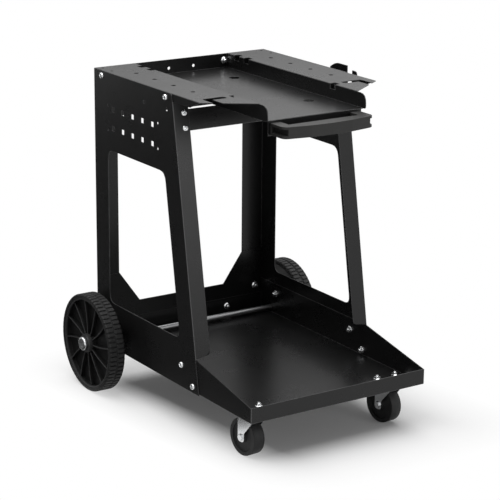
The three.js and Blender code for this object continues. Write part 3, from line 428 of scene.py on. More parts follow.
def coat_of(name, shade, index):
    """Satin black powder: a fine pebbled skin whose gloss drifts slowly across a sheet."""
    finish = Finish(name, IOR=index)
    finish.tint(finish.noise(35.0, detail=3.0), shade, lighter(shade, 1.7))
    finish.rough(0.23 + 0.06 * finish.noise(14.0) + 0.05 * finish.noise(420.0))
    finish.relief(finish.noise(1100.0, detail=3.0), strength=0.1, distance=0.00025)
    return finish.material


def powder_coat(settings):
    """Powder coat of the open faces."""
    return coat_of("black_powder_coat", tuple(settings.coat), index=1.37)


def coat_edge_highlight(settings):
    """The same coat on the rounded edges, with a higher IOR and a many times lighter colour, which is a
    painted highlight along the cut edges and folds.
    """
    return coat_of("coat_edge_highlight", lighter(settings.coat, settings.edge_highlight_gain), index=1.6)


def moulded_plastic(settings):
    """Moulded plastic with a spark-eroded grain, whose tone drifts a little."""
    finish = plastic_of("black_plastic")
    finish.tint(finish.noise(60.0), tuple(settings.plastic), lighter(settings.plastic, 1.6))
    return finish.material


def wheel_plastic(settings):
    """The same plastic in the deeper black of the wheels, painted grey on the tops of the ribs beyond a
    set distance from the middle of the cart: a painted highlight.
    """
    finish = plastic_of("wheel_plastic")
    out = finish.parts()[0].size()
    # Painted highlight: rib tops past a set distance from the middle of the cart turn grey.
    rib_highlight = ((out - settings.rib_highlight_start) / settings.rib_highlight_run).at_least(0.0).at_most(1.0)
    finish.tint(rib_highlight, tuple(settings.wheel), tuple(settings.rib_highlight))
    return finish.material


def plastic_of(name):
    """Plastic whose gloss drifts a little under a fine grain; its maker gives the colour."""
    finish = Finish(name, IOR=1.38)
    finish.rough(0.42 + 0.12 * finish.noise(90.0))
    finish.relief(finish.noise(1900.0, detail=2.0), strength=0.16, distance=0.0003)
    return finish


def tyre_rubber(settings):
    """Tread rubber, a little greyer where it has bloomed."""
    finish = Finish("tyre_rubber", IOR=1.5)
    bloom = finish.noise(45.0, detail=4.0) ** 2.0
    finish.tint(bloom, tuple(settings.tyre), lighter(settings.tyre, 2.6))
    finish.rough(0.58 + 0.22 * finish.noise(160.0))
    finish.relief(finish.noise(800.0, detail=3.0), strength=0.2, distance=0.0003)
    return finish.material


def caster_rubber(settings):
    """Smooth rubber of the small wheels."""
    finish = Finish("caster_rubber", IOR=1.36)
    finish.tint(finish.noise(80.0, detail=3.0), tuple(settings.caster), lighter(settings.caster, 1.8))
    finish.rough(0.46 + 0.14 * finish.noise(200.0))
    finish.relief(finish.noise(900.0), strength=0.08, distance=0.0002)
    return finish.material


def zinc_plate(settings):
    """Bright zinc plate: faint clouds in the colour and the gloss."""
    finish = Finish("zinc_plate", Metallic=1.0)
    finish.tint(finish.noise(120.0, detail=3.0), lighter(settings.zinc, 0.88), tuple(settings.zinc))
    finish.rough(0.2 + 0.1 * finish.noise(90.0, detail=3.0))
    finish.relief(finish.noise(600.0), strength=0.03, distance=0.0001)
    return finish.material


def ground_rod(settings):
    """Duller steel of the axle, ground along its length."""
    finish = Finish("ground_rod", Metallic=1.0)
    finish.tint(finish.noise(25.0), lighter(settings.zinc, 0.3), lighter(settings.zinc, 0.36))
    finish.rough(0.3 + 0.06 * finish.noise(40.0))
    return finish.material


MAKERS = {
    "black_powder_coat": powder_coat,
    "coat_edge_highlight": coat_edge_highlight,
    "black_plastic": moulded_plastic,
    "wheel_plastic": wheel_plastic,
    "tyre": tyre_rubber,
    "caster_rubber": caster_rubber,
    "zinc_plate": zinc_plate,
    "ground_rod": ground_rod,
}


def finish_of(slot, scene):
    """The material of a slot, made when it is first asked for."""
    made = bpy.data.materials.get(f"finish_{slot}")
    if made is None:
        made = MAKERS[slot](scene.cart_finish)
        made.name = f"finish_{slot}"
    return made


def dress(node, slot, scene):
    """Gives a solid of the frame the finish of a slot."""
    solid = frame["nodes"][node]
    solid.data.materials.clear()
    solid.data.materials.append(finish_of(slot, scene))
    return solid


def ease_edges(solid, width, steps, finish=None):
    """Rounds the edges of a solid: its loose triangles are welded, then its sharp edges are bevelled.

    The rounded edges may have a finish of their own.
    """
    weld = solid.modifiers.new("weld", "WELD")
    weld.merge_threshold = WELD
    bevel = solid.modifiers.new("edges", "BEVEL")
    bevel.width = width
    bevel.segments = steps
    bevel.limit_method = "ANGLE"
    bevel.angle_limit = ROUNDED_FROM
    bevel.use_clamp_overlap = True
    bevel.harden_normals = True
    if finish:
        solid.data.materials.append(finish)
        bevel.material = 1


def smooth_step(low, high, x):
    """0 below low, 1 above high, and 3t^2 - 2t^3 between."""
    t = np.clip((x - low) / (high - low), 0.0, 1.0)
    return t * t * (3.0 - 2.0 * t)


def rounded(corners, radius, steps=5):
    """Closed outline with each corner replaced by the curve (1-t)^2 a + 2t(1-t) corner + t^2 b.

    The ends a and b lie the radius away along both edges, or a set share of an edge that is too short.
    """
    corners = np.asarray(corners, float)
    back = np.roll(corners, 1, axis=0) - corners
    ahead = np.roll(corners, -1, axis=0) - corners
    back_length = np.linalg.norm(back, axis=1, keepdims=True)
    ahead_length = np.linalg.norm(ahead, axis=1, keepdims=True)
    reach = np.minimum(radius, CORNER_SHARE * np.minimum(back_length, ahead_length))
    start = corners + back / back_length * reach
    end = corners + ahead / ahead_length * reach
    t = np.linspace(0.0, 1.0, steps)[None, :, None]
    curve = (1 - t) ** 2 * start[:, None] + 2 * t * (1 - t) * corners[:, None] + t**2 * end[:, None]
    return curve.reshape(-1, 2)


def evenly(outline, count):
    """The same closed outline with points at even steps along it."""
    closed = np.vstack([outline, outline[:1]])
    run = np.concatenate([[0.0], np.cumsum(np.linalg.norm(np.diff(closed, axis=0), axis=1))])
    at = np.linspace(0.0, run[-1], count, endpoint=False)
    return np.stack([np.interp(at, run, closed[:, 0]), np.interp(at, run, closed[:, 1])], -1)


def around(count):
    """Even angles of one turn, as a column."""
    return np.linspace(0.0, 2 * np.pi, count, endpoint=False)[:, None]


def about_x(along, radius, angle):
    """Points (along, radius cos a, radius sin a), a row for each angle."""
    return np.stack([along + 0 * angle, radius * np.cos(angle), radius * np.sin(angle)], -1)


def turned(profile, sides):
    """Profile points (radius, along) carried round X: (along, radius cos a, radius sin a)."""
    radius, along = np.asarray(profile, float).T[:, None, :]
    return about_x(along, radius, around(sides))


def grid_faces(rows, columns, round_rows, round_columns):
    """Quads between neighbours of a grid, closed round its rows or columns where asked."""
    row, column = np.meshgrid(
        np.arange(rows - (not round_rows)), np.arange(columns - (not round_columns)), indexing="ij"
    )
    up = (row + 1) % rows
    right = (column + 1) % columns
    quads = [row * columns + column, row * columns + right, up * columns + right, up * columns + column]
    return np.stack(quads, -1).reshape(-1, 4)


def piece(name, surfaces, slot, body, scene, replaced=(), sharp=SHARP_FROM, finish=None):
    """One object from grids [(points, round rows, round columns)], riding on a body."""
    points, faces, start = [], [], 0
    for grid, round_rows, round_columns in surfaces:
        rows, columns = grid.shape[:2]
        points.append(grid.reshape(-1, 3))
        faces.append(grid_faces(rows, columns, round_rows, round_columns) + start)
        start += rows * columns
    mesh = bpy.data.meshes.new(name)
    mesh.from_pydata(np.concatenate(points).tolist(), [], np.concatenate(faces).tolist())
    shell = bmesh.new()
    shell.from_mesh(mesh)
    bmesh.ops.remove_doubles(shell, verts=shell.verts, dist=MERGE)
    bmesh.ops.recalc_face_normals(shell, faces=shell.faces)
    shell.to_mesh(mesh)
    shell.free()
    mesh.shade_smooth()
    mesh.set_sharp_from_angle(angle=math.radians(sharp))
    mesh.materials.append(finish_of(finish or slot, scene))
    made = bpy.data.objects.new(name, mesh)
    scene.collection.objects.link(made)
    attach(made, body)
    if replaced:
        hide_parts(*replaced)


def moved(grid, axis, place):
    """A grid about X, turned so that X follows an axis, and carried to a place."""
    spin = np.array(Vector((1, 0, 0)).rotation_difference(Vector(axis)).to_matrix())
    return grid @ spin.T + np.asarray(place, float)


def points_of(node):
    """All points of a solid of the frame."""
    vertices = frame["nodes"][node].data.vertices
    flat = np.empty(3 * len(vertices), np.float32)
    vertices.foreach_get("co", flat)
    return flat.reshape(-1, 3).astype(float)


def middle_of(node):
    """Middle of a node's box as an array."""
    low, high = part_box(node)
    return np.array((low + high) / 2)


def radius_of(node):
    """Half the height of a node's box."""
    low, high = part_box(node)
    return (high.z - low.z) / 2


def ends_of(node):
    """Inner and outer end of a node's box, counted out from the middle of the cart."""
    low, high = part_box(node)
    return sorted((abs(low.x), abs(high.x)))


def tyre_surface(tread, outer, width, depth):
    """Tyre about X. Its section is a rounded ring, and its tread is pressed in by the grooves:

    radius - lug_depth * max(cross groove, centre groove) * tread mask, where the cross grooves repeat
    round the tyre and the second row is half a pitch on; a shallow ring is pressed into both sidewalls.
    """
    inner = outer - depth
    half = width / 2
    edge = tread.shoulder
    corners = [
        (inner, -half),
        (outer - edge, -half),
        (outer, edge - half),
        (outer, half - edge),
        (outer - edge, half),
        (inner, half),
    ]
    section = evenly(rounded(corners, edge / 2), TYRE_SECTION)
    radius, along = section.T[:, None, :]
    angle = around(LUG_STEPS * tread.lugs)
    pitch = 2 * np.pi / tread.lugs
    phase = np.mod(angle / pitch + 0.5 * (along > 0), 1.0)
    rise = smooth_step(tread.lug_share - LUG_RAMP, tread.lug_share, phase)
    cross = smooth_step(0.0, LUG_RAMP, phase) * (1 - rise)
    groove = tread.centre_groove
    centre = 1 - smooth_step(GROOVE_FLOOR * groove, GROOVE_TOP * groove, np.abs(along))
    mask = smooth_step(outer - TREAD_START * edge, outer - TREAD_FULL * edge, radius)
    radius = radius - tread.lug_depth * np.maximum(cross, centre) * mask
    ring = inner + RING_PLACE * depth
    press = np.exp(-(((radius - ring) / (RING_WIDTH * depth)) ** 2))
    sidewall = np.abs(along) > SIDEWALL_FROM * half
    along = along - np.sign(along) * tread.wall_step * press * sidewall
    return about_x(along, radius, angle)


def rib_surfaces(wheel, rim_inner, web_face, sign):
    """Ribs about X: a rounded bar carried out from the hub to the rim.

    It is swept sideways by sweep * r * (r - start) / (end - start), and shrinks to a point inside hub
    and rim, which closes its ends.
    """
    start = wheel.hub - wheel.rim_wall / 2
    end = rim_inner + wheel.rim_wall / 2
    half = wheel.rib_width / 2
    low = -wheel.web / 2
    high = wheel.rib_height
    corners = [(-half, low), (half, low), (half, high), (-half, high)]
    bar = rounded(corners, RIB_ROUNDING * wheel.rib_width)
    share = np.concatenate([[0.0], np.linspace(0.0, 1.0, RIB_STEPS), [1.0]])[:, None]
    full = np.concatenate([[0.0], np.ones(RIB_STEPS), [0.0]])[:, None]
    radius = start + (end - start) * share
    side = wheel.rib_sweep * radius * share + full * bar[None, :, 0]
    height = sign * (web_face + full * bar[None, :, 1])
    turn = 2 * np.pi * np.arange(wheel.ribs)[:, None, None] / wheel.ribs
    y = side * np.cos(turn) - (radius + 0 * side) * np.sin(turn)
    z = side * np.sin(turn) + (radius + 0 * side) * np.cos(turn)
    bars = np.stack([np.broadcast_to(height, y.shape), y, z], -1)
    return [(bar_points, False, True) for bar_points in bars]


def wheel_surface(wheel, rim_outer, hub, tyre_ends):
    """Wheel about X from its moulded section: hub, web and rim, all corners rounded."""
    rim_inner = rim_outer - wheel.rim_wall
    web_outer = tyre_ends[1] - wheel.web_offset
    web_inner = web_outer - wheel.web
    low = tyre_ends[0] + wheel.rim_inset
    high = tyre_ends[1] - wheel.rim_inset
    corners = [
        (wheel.bore, hub[0]),
        (wheel.hub, hub[0]),
        (wheel.hub, web_inner),
        (rim_inner, web_inner),
        (rim_inner, low),
        (rim_outer, low),
        (rim_outer, high),
        (rim_inner, high),
        (rim_inner, web_outer),
        (wheel.hub, web_outer),
        (wheel.hub, hub[1]),
        (wheel.bore, hub[1]),
    ]
    return turned(rounded(corners, wheel.fillet), WHEEL_SIDES), rim_inner, web_outer


def thread_surface(bolt, low, high):
    """Threaded shank along X: radius - depth * |2 frac(x/pitch - a/2pi) - 1|, closed at both ends."""
    steps = max(FEWEST_STEPS, int(THREAD_STEPS * (high - low) / bolt.pitch))
    along = np.concatenate([[low], np.linspace(low, high, steps), [high]])[None, :]
    angle = around(THREAD_SIDES)
    wave = np.abs(2 * np.mod(along / bolt.pitch - angle / (2 * np.pi), 1.0) - 1)
    radius = bolt.radius - bolt.thread * wave
    radius[:, [0, -1]] = 0.0
    return about_x(along, radius, angle)


def head_surface(bolt, turn):
    """Pan head on X: height H (1 - (r/R)^4)^(1/2) less a cross with soft edges, and flat below."""
    face = np.linspace(0.0, CROSS_FACE, CROSS_STEPS)
    share = np.concatenate([face, np.linspace(RIM_FACE, 1.0, RIM_STEPS)])[None, :]
    angle = around(HEAD_SIDES)
    radius = bolt.head * share + 0 * angle
    y = radius * np.cos(angle - turn)
    z = radius * np.sin(angle - turn)
    soft = CROSS_SOFTNESS * bolt.cross_width
    arms = [
        (1 - smooth_step(bolt.cross_width - soft, bolt.cross_width + soft, np.abs(across)))
        * (1 - smooth_step(bolt.cross_reach - 2 * soft, bolt.cross_reach + 2 * soft, np.abs(reach)))
        for across, reach in ((y, z), (z, y))
    ]
    dome = bolt.head_height * np.sqrt(np.clip(1 - share**4, 0.0, 1.0))
    top = about_x(dome - bolt.cross_depth * np.maximum(*arms), radius, angle)
    under = np.zeros((len(angle), 1, 3))
    return np.concatenate([top, under], axis=1)


def hexagon(corner):
    """Angles about X, the radius flat / cos(a mod 60 - 30) of a hexagon at them, and its flat."""
    angle = around(HEXAGON_SIDES)
    flat = corner * math.cos(math.pi / 6)
    return angle, flat / np.cos(np.mod(angle, np.pi / 3) - np.pi / 6), flat


def hexagon_surface(corner, bore, low, high):
    """Hexagon head on X: the smaller of a hexagon and a chamfer cone, round its own bore."""
    angle, six, flat = hexagon(corner)
    rim = CHAMFER * (high - low)
    along = np.array([low, low, low + rim, high - rim, high, high])[None, :]
    cone = np.array([bore, flat, corner, corner, flat, bore])[None, :]
    return about_x(along, np.minimum(six, cone), angle)


def nut_surface(bolt, low):
    """Flanged nut on X: a chamfered hexagon that slopes out to a round skirt at its seat."""
    angle, six, flat = hexagon(bolt.nut)
    high = low + bolt.nut_height
    bore = bolt.radius - bolt.thread
    slope = high - bolt.skirt_height
    rim = CHAMFER * bolt.nut_height
    along = np.array([low, low, low + rim, slope, high - bolt.skirt_edge, high, high])[None, :]
    limit = np.array([bore, flat, bolt.nut, bolt.nut, bolt.skirt, bolt.skirt, bore])[None, :]
    radius = np.where(along <= slope, np.minimum(six, limit), limit)
    return about_x(along, radius, angle)


def bolt_place(bolt, node, axis):
    """Seat of a screw's head and the far end of its shank, read from the solid's own points."""
    points = points_of(node)
    axis = np.asarray(axis, float)
    run = points @ axis
    across = points - np.outer(run, axis)
    line = (across.min(0) + across.max(0)) / 2
    line = line - axis * (line @ axis)
    seat = run.max() - bolt.head_height
    return line + axis * seat, run.min() - seat


def bolt_surfaces(bolt, place, end, axis, turn, with_nut=True):
    """Screw whose head sits at a place and whose shank runs back to an end, with or without a nut."""
    surfaces = [
        (moved(head_surface(bolt, turn), axis, place), True, False),
        (moved(thread_surface(bolt, end, SHANK_RUN * bolt.head_height), axis, place), True, False),
    ]
    if with_nut:
        nut = nut_surface(bolt, end + bolt.tip)
        surfaces.append((moved(nut, axis, place), True, True))
    return surfaces


def leg_axis(lean):
    """Outward direction of the slanted front legs."""
    return np.array([0.0, -1.0, lean]) / math.hypot(1.0, lean)


class CART_OT_stage(bpy.types.Operator):
    """Make the floor, the light and the camera"""

    bl_idname = "cart.stage"
    bl_label = "Stage"

    def execute(self, context):
        scene = context.scene
        stage = scene.cart_stage
        scene.view_settings.view_transform = "Standard"
        self.world(scene, stage)
        self.floor(scene, stage)
        self.cards(scene, stage)
        self.lamp(scene, "overhead_lamp", stage.lamp, LAMP_SIZE, LAMP_PLACE, LAMP_AIM)
        self.lamp(scene, "front_lamp", stage.fill, FILL_SIZE, FILL_PLACE, FILL_AIM)
        self.camera(scene, stage)
        return {"FINISHED"}

    def camera(self, scene, stage):
        """The view of the photograph."""
        camera = bpy.data.cameras.new("photo_camera")
        camera.sensor_width = SENSOR
        camera.lens = stage.lens
        eye = bpy.data.objects.new("photo_camera", camera)
        view = Vector(stage.aim) - Vector(stage.eye)
        eye.location = stage.eye
        eye.rotation_mode = "QUATERNION"
        eye.rotation_quaternion = view.to_track_quat("-Z", "Y") @ Quaternion((0, 0, 1), stage.roll)
        scene.collection.objects.link(eye)
        scene.camera = eye

    def lamp(self, scene, name, power, size, place, aim):
        """A soft lamp that is not itself in the picture."""
        light = bpy.data.lights.new(name, "AREA")
        light.shape = "RECTANGLE"
        light.energy = power
        light.size, light.size_y = size
        hung = bpy.data.objects.new(name, light)
        hung.location = place
        hung.rotation_mode = "QUATERNION"
        hung.rotation_quaternion = (Vector(aim) - Vector(place)).to_track_quat("-Z", "Y")
        hung.visible_camera = False
        scene.collection.objects.link(hung)

    def cards(self, scene, stage):
        """One card that lies beside the cart and bends up, and a low one that stands behind it."""
        bend = np.linspace(0.0, np.pi / 2, BEND_STEPS)
        out = -SIDE_FAR - SIDE_BEND * np.sin(bend)
        z = SIDE_LIFT + SIDE_BEND * (1 - np.cos(bend))
        near = (-SIDE_NEAR, SIDE_LIFT)
        top = (-SIDE_FAR - SIDE_BEND, SIDE_TOP)
        side = np.concatenate([[near], np.stack([out, z], -1), [top]])
        self.card(scene, "side_card", stage.side_card, side, SIDE_RUN, 0.0)
        rear = [(REAR_BACK, REAR_LIFT), (REAR_BACK, REAR_TOP)]
        self.card(scene, "rear_card", stage.rear_card, rear, REAR_RUN, math.pi / 2)

    def card(self, scene, name, shade, profile, run, turn):
        """Card that only reflections show: (out, z) points carried along a run, then turned about Z."""
        run = np.array(run)[:, None]
        out, z = np.asarray(profile, float).T[:, None, :]
        x = out * math.cos(turn) - run * math.sin(turn)
        y = out * math.sin(turn) + run * math.cos(turn)
        grid = np.stack([x, y, z + 0 * run], -1)
        faces = grid_faces(*grid.shape[:2], False, False)
        mesh = bpy.data.meshes.new(name)
        mesh.from_pydata(grid.reshape(-1, 3).tolist(), [], faces.tolist())
        mesh.shade_smooth()
        card = bpy.data.objects.new(name, mesh)
        card.visible_camera = card.visible_diffuse = card.visible_shadow = False
        scene.collection.objects.link(card)
        finish = Finish(name, Roughness=1.0)
        finish.tint(finish.noise(5.0), (shade,) * 3, (1.1 * shade,) * 3)
        mesh.materials.append(finish.material)

    def world(self, scene, stage):
        """White where it is seen, and a plain level of light elsewhere."""
        scene.world = bpy.data.worlds.new("studio")
        graph = Graph(scene.world)
        back = graph.tree.nodes["Background"]
        back.inputs["Color"].default_value = (1.0, 1.0, 1.0, 1.0)
        graph.feed(back.inputs["Strength"], stage.sky + (1.0 - stage.sky) * graph.seen())

    def floor(self, scene, stage):
        """A pale floor that shows its shade near the cart and turns white away from it."""
        reach = stage.floor
        corners = [(-reach, -reach, 0), (reach, -reach, 0), (reach, reach, 0), (-reach, reach, 0)]
        mesh = bpy.data.meshes.new("floor")
        mesh.from_pydata(corners, [], [(0, 1, 2, 3)])
        floor = bpy.data.objects.new("floor", mesh)
        scene.collection.objects.link(floor)
        finish = Finish("floor", Roughness=0.9, Specular_IOR_Level=0.0)
        finish.tint(finish.noise(3.0), tuple(stage.floor_colour), lighter(stage.floor_colour, 1.005))
        glow = finish.node("ShaderNodeEmission", None, {"Color": (1.0, 1.0, 1.0, 1.0), "Strength": 1.0})
        x, y, _ = finish.parts()
        across = x + stage.shade_skew * y - stage.shade_shift
        past_x = (across.size() - stage.shade_width).at_least(0.0)
        past_y = (y.size() - stage.shade_depth).at_least(0.0)
        past = (past_x**2.0 + past_y**2.0) ** 0.5
        fade = (past / stage.shade_fade).at_least(stage.shade_lift).at_most(1.0)
        blend = finish.node("ShaderNodeMixShader", None, {0: fade * finish.seen()})
        finish.feed(blend.inputs[1], finish.shader.outputs["BSDF"])
        finish.feed(blend.inputs[2], glow.outputs["Emission"])
        finish.feed(finish.tree.nodes["Material Output"].inputs["Surface"], blend.outputs["Shader"])
        mesh.materials.append(finish.material)


class CART_OT_sheet(bpy.types.Operator):
    """Coat the folded sheet pieces and round their cut edges"""

    bl_idname = "cart.sheet"
    bl_label = "Sheet pieces"

    def execute(self, context):
        scene = context.scene
        for node in SHEET_NODES:
            solid = dress(node, "black_powder_coat", scene)
            # The rounded edges get the lighter coat, a painted highlight.
            ease_edges(solid, scene.cart_finish.sheet_edge, SHEET_STEPS, finish_of("coat_edge_highlight", scene))
        return {"FINISHED"}


class CART_OT_handle(bpy.types.Operator):
    """Finish the moulded handle"""

    bl_idname = "cart.handle"
    bl_label = "Handle"

    def execute(self, context):
        scene = context.scene
        ease_edges(dress("handle", "black_plastic", scene), scene.cart_finish.handle_edge, HANDLE_STEPS)
        return {"FINISHED"}


class CART_OT_tyres(bpy.types.Operator):
    """Mould the treaded tyres"""

    bl_idname = "cart.tyres"
    bl_label = "Tyres"

    def execute(self, context):
        scene = context.scene
        for side in SIDES:
            node = f"{side}_tyre"
            inner, outer = ends_of(node)
            radius = radius_of(node)
            depth = radius - radius_of(f"{side}_wheel")
            grid = tyre_surface(scene.cart_tyre, radius, outer - inner, depth) + middle_of(node)
            piece(f"{side}_tread_tyre", [(grid, True, True)], "tyre", f"{side}_rear_wheel", scene, [node])
        return {"FINISHED"}


class CART_OT_wheels(bpy.types.Operator):
    """Mould the ribbed rear wheels"""

    bl_idname = "cart.wheels"
    bl_label = "Rear wheels"

    def execute(self, context):
        scene = context.scene
        for side, sign in SIDES.items():
            node = f"{side}_wheel"
            hub = ends_of(node)
            tyre = ends_of(f"{side}_tyre")
            body, rim_inner, web_face = wheel_surface(scene.cart_wheel, radius_of(node), hub, tyre)
            body = body * np.array([sign, 1, 1])
            ribs = rib_surfaces(scene.cart_wheel, rim_inner, web_face, sign)
            place = middle_of(node) * ACROSS
            grids = [(body, True, True), *ribs]
            surfaces = [(grid + place, rows, columns) for grid, rows, columns in grids]
            name = f"{side}_ribbed_wheel"
            rides_on = f"{side}_rear_wheel"
            piece(name, surfaces, "black_plastic", rides_on, scene, [node], finish="wheel_plastic")
        return {"FINISHED"}


class CART_OT_axle(bpy.types.Operator):
    """Turn the rear axle, its spacers and its pressed caps"""

    bl_idname = "cart.axle"
    bl_label = "Rear axle"

    def execute(self, context):
        scene = context.scene
        low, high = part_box("axle")
        radius = radius_of("axle")
        place = middle_of("axle")
        cut = ROD_CUT * radius
        end = [(radius, high.x - cut), (radius - cut, high.x), (0.0, high.x)]
        rod = [(0.0, low.x), (radius - cut, low.x), (radius, low.x + cut), *end]
        surfaces = [(turned(rod, ROD_SIDES) + place, True, False)]
        piece("axle_rod", surfaces, "zinc_plate", "frame", scene, ["axle"], finish="ground_rod")
        for side, sign in SIDES.items():
            self.spacer(scene, side, radius, place)
            self.cap(scene, side, sign, place)
        return {"FINISHED"}

    def spacer(self, scene, side, bore, place):
        """Plain tube between panel and hub."""
        node = f"{side}_axle_spacer"
        low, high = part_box(node)
        outer = radius_of(node)
        ring = rounded([(bore, low.x), (outer, low.x), (outer, high.x), (bore, high.x)], SPACER_EDGE)
        grid = turned(ring, ROD_SIDES) + place * ACROSS
        piece(f"{side}_spacer_tube", [(grid, True, True)], "zinc_plate", "frame", scene, [node])

    def cap(self, scene, side, sign, place):
        """Pressed cap: a flat skirt, a rounded shoulder and a shallow dimple, closed at its back."""
        node = f"{side}_hub_cap"
        inner, outer = ends_of(node)
        radius = radius_of(node)
        run = outer - inner
        foot = [(0.0, 0.0), (CAP_FOOT, 0.0), (1.0, CAP_CUT)]
        bend = np.linspace(0.0, np.pi / 2, SHOULDER_STEPS)
        out = CAP_FACE + (1 - CAP_FACE) * np.cos(bend)
        shoulder = np.stack([out, CAP_SKIRT + (1 - CAP_SKIRT) * np.sin(bend)], -1)
        dish = [(CAP_DISH, 1.0), (CAP_DISH_FOOT, 1 - CAP_DIP), (0.0, 1 - CAP_DIP_MIDDLE)]
        profile = np.concatenate([foot, shoulder, dish]) * (radius, run) + (0.0, inner)
        grid = turned(profile, PRESSED_SIDES) * np.array([sign, 1, 1]) + place * ACROSS
        surfaces = [(grid, True, False)]
        piece(f"{side}_pressed_cap", surfaces, "zinc_plate", "frame", scene, [node], CAP_SHARP_FROM)


class CART_OT_casters(bpy.types.Operator):
    """Finish the swivel casters"""

    bl_idname = "cart.casters"
    bl_label = "Casters"

    def execute(self, context):
        scene = context.scene
        for side in SIDES:
            for part in ("plate", "fork"):
                solid = dress(f"{side}_caster_{part}", "zinc_plate", scene)
                ease_edges(solid, scene.cart_finish.fork_edge, SHEET_STEPS)
            dress(f"{side}_caster_kingpin", "zinc_plate", scene)
            self.race(scene, side)
            self.wheel(scene, side)
            self.axle(scene, side)
        return {"FINISHED"}

    def race(self, scene, side):
        """Pressed ball race: a ring with rounded edges."""
        node = f"{side}_caster_race"
        low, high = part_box(node)
        outer = (high.x - low.x) / 2
        half = radius_of(node)
        bore = RACE_BORE * outer
        corners = [(bore, -half), (outer, -half), (outer, half), (bore, half)]
        ring = rounded(corners, RACE_ROUNDING * half)
        grid = moved(turned(ring, PRESSED_SIDES), (0, 0, 1), middle_of(node))
        piece(f"{side}_ball_race", [(grid, True, True)], "zinc_plate", "frame", scene, [node])

    def wheel(self, scene, side):
        """Dished wheel about its own axle, its tread dropping by crown * (x / half width)^power."""
        caster = scene.cart_caster
        node = f"{side}_caster_wheel"
        joint = JOINTS[f"{side}_caster_roll"]
        radius = radius_of(node)
        axis = np.array(joint["axis"], float)
        half = np.abs((points_of(node) - np.array(joint["pos_m"])) @ axis).max()
        hub = caster.hub
        ring = radius - caster.rim
        dish = half - caster.recess
        face = [(caster.bore, half), (hub, half), (hub, dish), (ring, dish), (ring, half), (radius, half)]
        outline = rounded([(r, -x) for r, x in face] + face[::-1], caster.fillet)
        tread = (radius - outline[:, 0]) < TREAD_BAND
        drop = caster.crown * (np.abs(outline[:, 1]) / half) ** caster.crown_power
        outline[:, 0] -= np.where(tread, drop, 0.0)
        grid = moved(turned(outline, CASTER_SIDES), axis, joint["pos_m"])
        rides_on = f"{side}_caster_roller"
        piece(f"{side}_rubber_roller", [(grid, True, True)], "caster_rubber", rides_on, scene, [node])

    def axle(self, scene, side):
        """Axle bolt with a hexagon at both ends."""
        caster = scene.cart_caster
        node = f"{side}_caster_axle"
        joint = JOINTS[f"{side}_caster_roll"]
        axis = np.array(joint["axis"], float)
        points = points_of(node) - np.array(joint["pos_m"])
        end = np.abs(points @ axis).max()
        corner = np.linalg.norm(points - np.outer(points @ axis, axis), axis=1).max()
        rod = [(0.0, -end), (caster.axle, -end), (caster.axle, end), (0.0, end)]
        grids = [(turned(rod, PIN_SIDES), True, False)]
        for sign in SIDES.values():
            low, high = sorted((sign * end * HEXAGON_REACH, sign * (end - caster.head)))
            grids.append((hexagon_surface(corner, HEXAGON_BORE * caster.axle, low, high), True, True))
        surfaces = [(moved(grid, axis, joint["pos_m"]), rows, columns) for grid, rows, columns in grids]
        piece(f"{side}_roller_bolt", surfaces, "zinc_plate", f"{side}_caster_yoke", scene, [node])


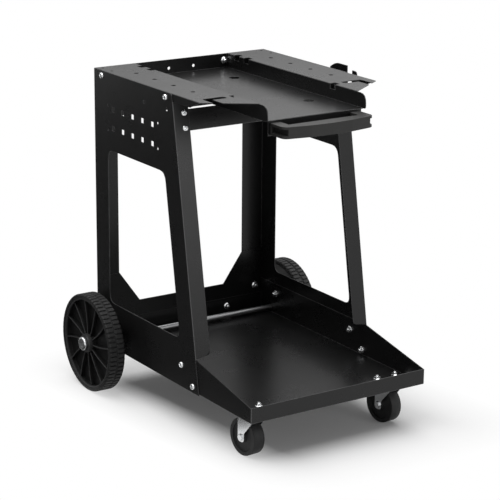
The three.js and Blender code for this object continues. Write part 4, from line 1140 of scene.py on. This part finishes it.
class CART_OT_bolts(bpy.types.Operator):
    """Cut the pan-head screws with their crosses, threads and nuts"""

    bl_idname = "cart.bolts"
    bl_label = "Screws and nuts"

    def execute(self, context):
        scene = context.scene
        for name, rows in self.groups(scene.cart_bolt.lean).items():
            surfaces = []
            for i, (node, axis, with_nut) in enumerate(rows):
                place, end = bolt_place(scene.cart_bolt, node, axis)
                surfaces += bolt_surfaces(scene.cart_bolt, place, end, axis, CROSS_TURN * i, with_nut)
            piece(name, surfaces, "zinc_plate", "frame", scene, [node for node, _, _ in rows])
        self.back_wall(scene)
        return {"FINISHED"}

    def back_wall(self, scene):
        """Two screws through the back wall of the upper tray, nuts inside."""
        bolt = scene.cart_bolt
        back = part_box("top_tray")[1].y
        end = -(bolt.wall_grip + bolt.nut_height + bolt.tip)
        surfaces = []
        for sign in SIDES.values():
            place = (sign * bolt.wall_spacing / 2, back, bolt.wall_height)
            surfaces += bolt_surfaces(bolt, place, end, (0, 1, 0), sign)
        piece("back_wall_screws", surfaces, "zinc_plate", "frame", scene)

    def groups(self, lean):
        """Screws by the piece that they hold: node, direction of the head, and whether there is a nut."""
        groups = {"handle_screws": [(f"handle_screw_{side}", (0, 1, 0), False) for side in SIDES]}
        groups["hook_screws"] = [(f"hook_bolt_{end}", (1, 0, 0), True) for end in ("rear", "front")]
        for side, sign in SIDES.items():
            heads = {"panel": (sign, 0, 0), "back": (0, 1, 0), "leg": leg_axis(lean), "caster": (0, 0, -1)}
            for held, axis in heads.items():
                rows = [(f"{side}_{bolt}", axis, True) for bolt in BOLTS[held]]
                groups[f"{side}_{held}_screws"] = rows
        return groups


class CART_PT_looks(bpy.types.Panel):
    """Buttons for the cart's pieces"""

    bl_idname = "CART_PT_looks"
    bl_label = "Welding cart"
    bl_space_type = "VIEW_3D"
    bl_region_type = "UI"
    bl_category = "Cart"

    def draw(self, context):
        for operator in OPERATORS:
            self.layout.operator(operator.bl_idname)


GROUPS = {
    "cart_finish": FinishSettings,
    "cart_tyre": TyreSettings,
    "cart_wheel": WheelSettings,
    "cart_bolt": BoltSettings,
    "cart_caster": CasterSettings,
    "cart_stage": StageSettings,
}
OPERATORS = (
    CART_OT_stage,
    CART_OT_sheet,
    CART_OT_handle,
    CART_OT_tyres,
    CART_OT_wheels,
    CART_OT_axle,
    CART_OT_casters,
    CART_OT_bolts,
)


def register():
    for group in GROUPS.values():
        bpy.utils.register_class(group)
    for name, group in GROUPS.items():
        setattr(bpy.types.Scene, name, PointerProperty(type=group))
    for shown in (*OPERATORS, CART_PT_looks):
        bpy.utils.register_class(shown)


def unregister():
    for shown in reversed((*OPERATORS, CART_PT_looks)):
        bpy.utils.unregister_class(shown)
    for name in GROUPS:
        delattr(bpy.types.Scene, name)
    for group in reversed(GROUPS.values()):
        bpy.utils.unregister_class(group)


def main():
    """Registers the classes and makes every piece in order."""
    register()
    bpy.ops.cart.stage()
    bpy.ops.cart.sheet()
    bpy.ops.cart.handle()
    bpy.ops.cart.tyres()
    bpy.ops.cart.wheels()
    bpy.ops.cart.axle()
    bpy.ops.cart.casters()
    bpy.ops.cart.bolts()


if __name__ == "__main__":
    main()
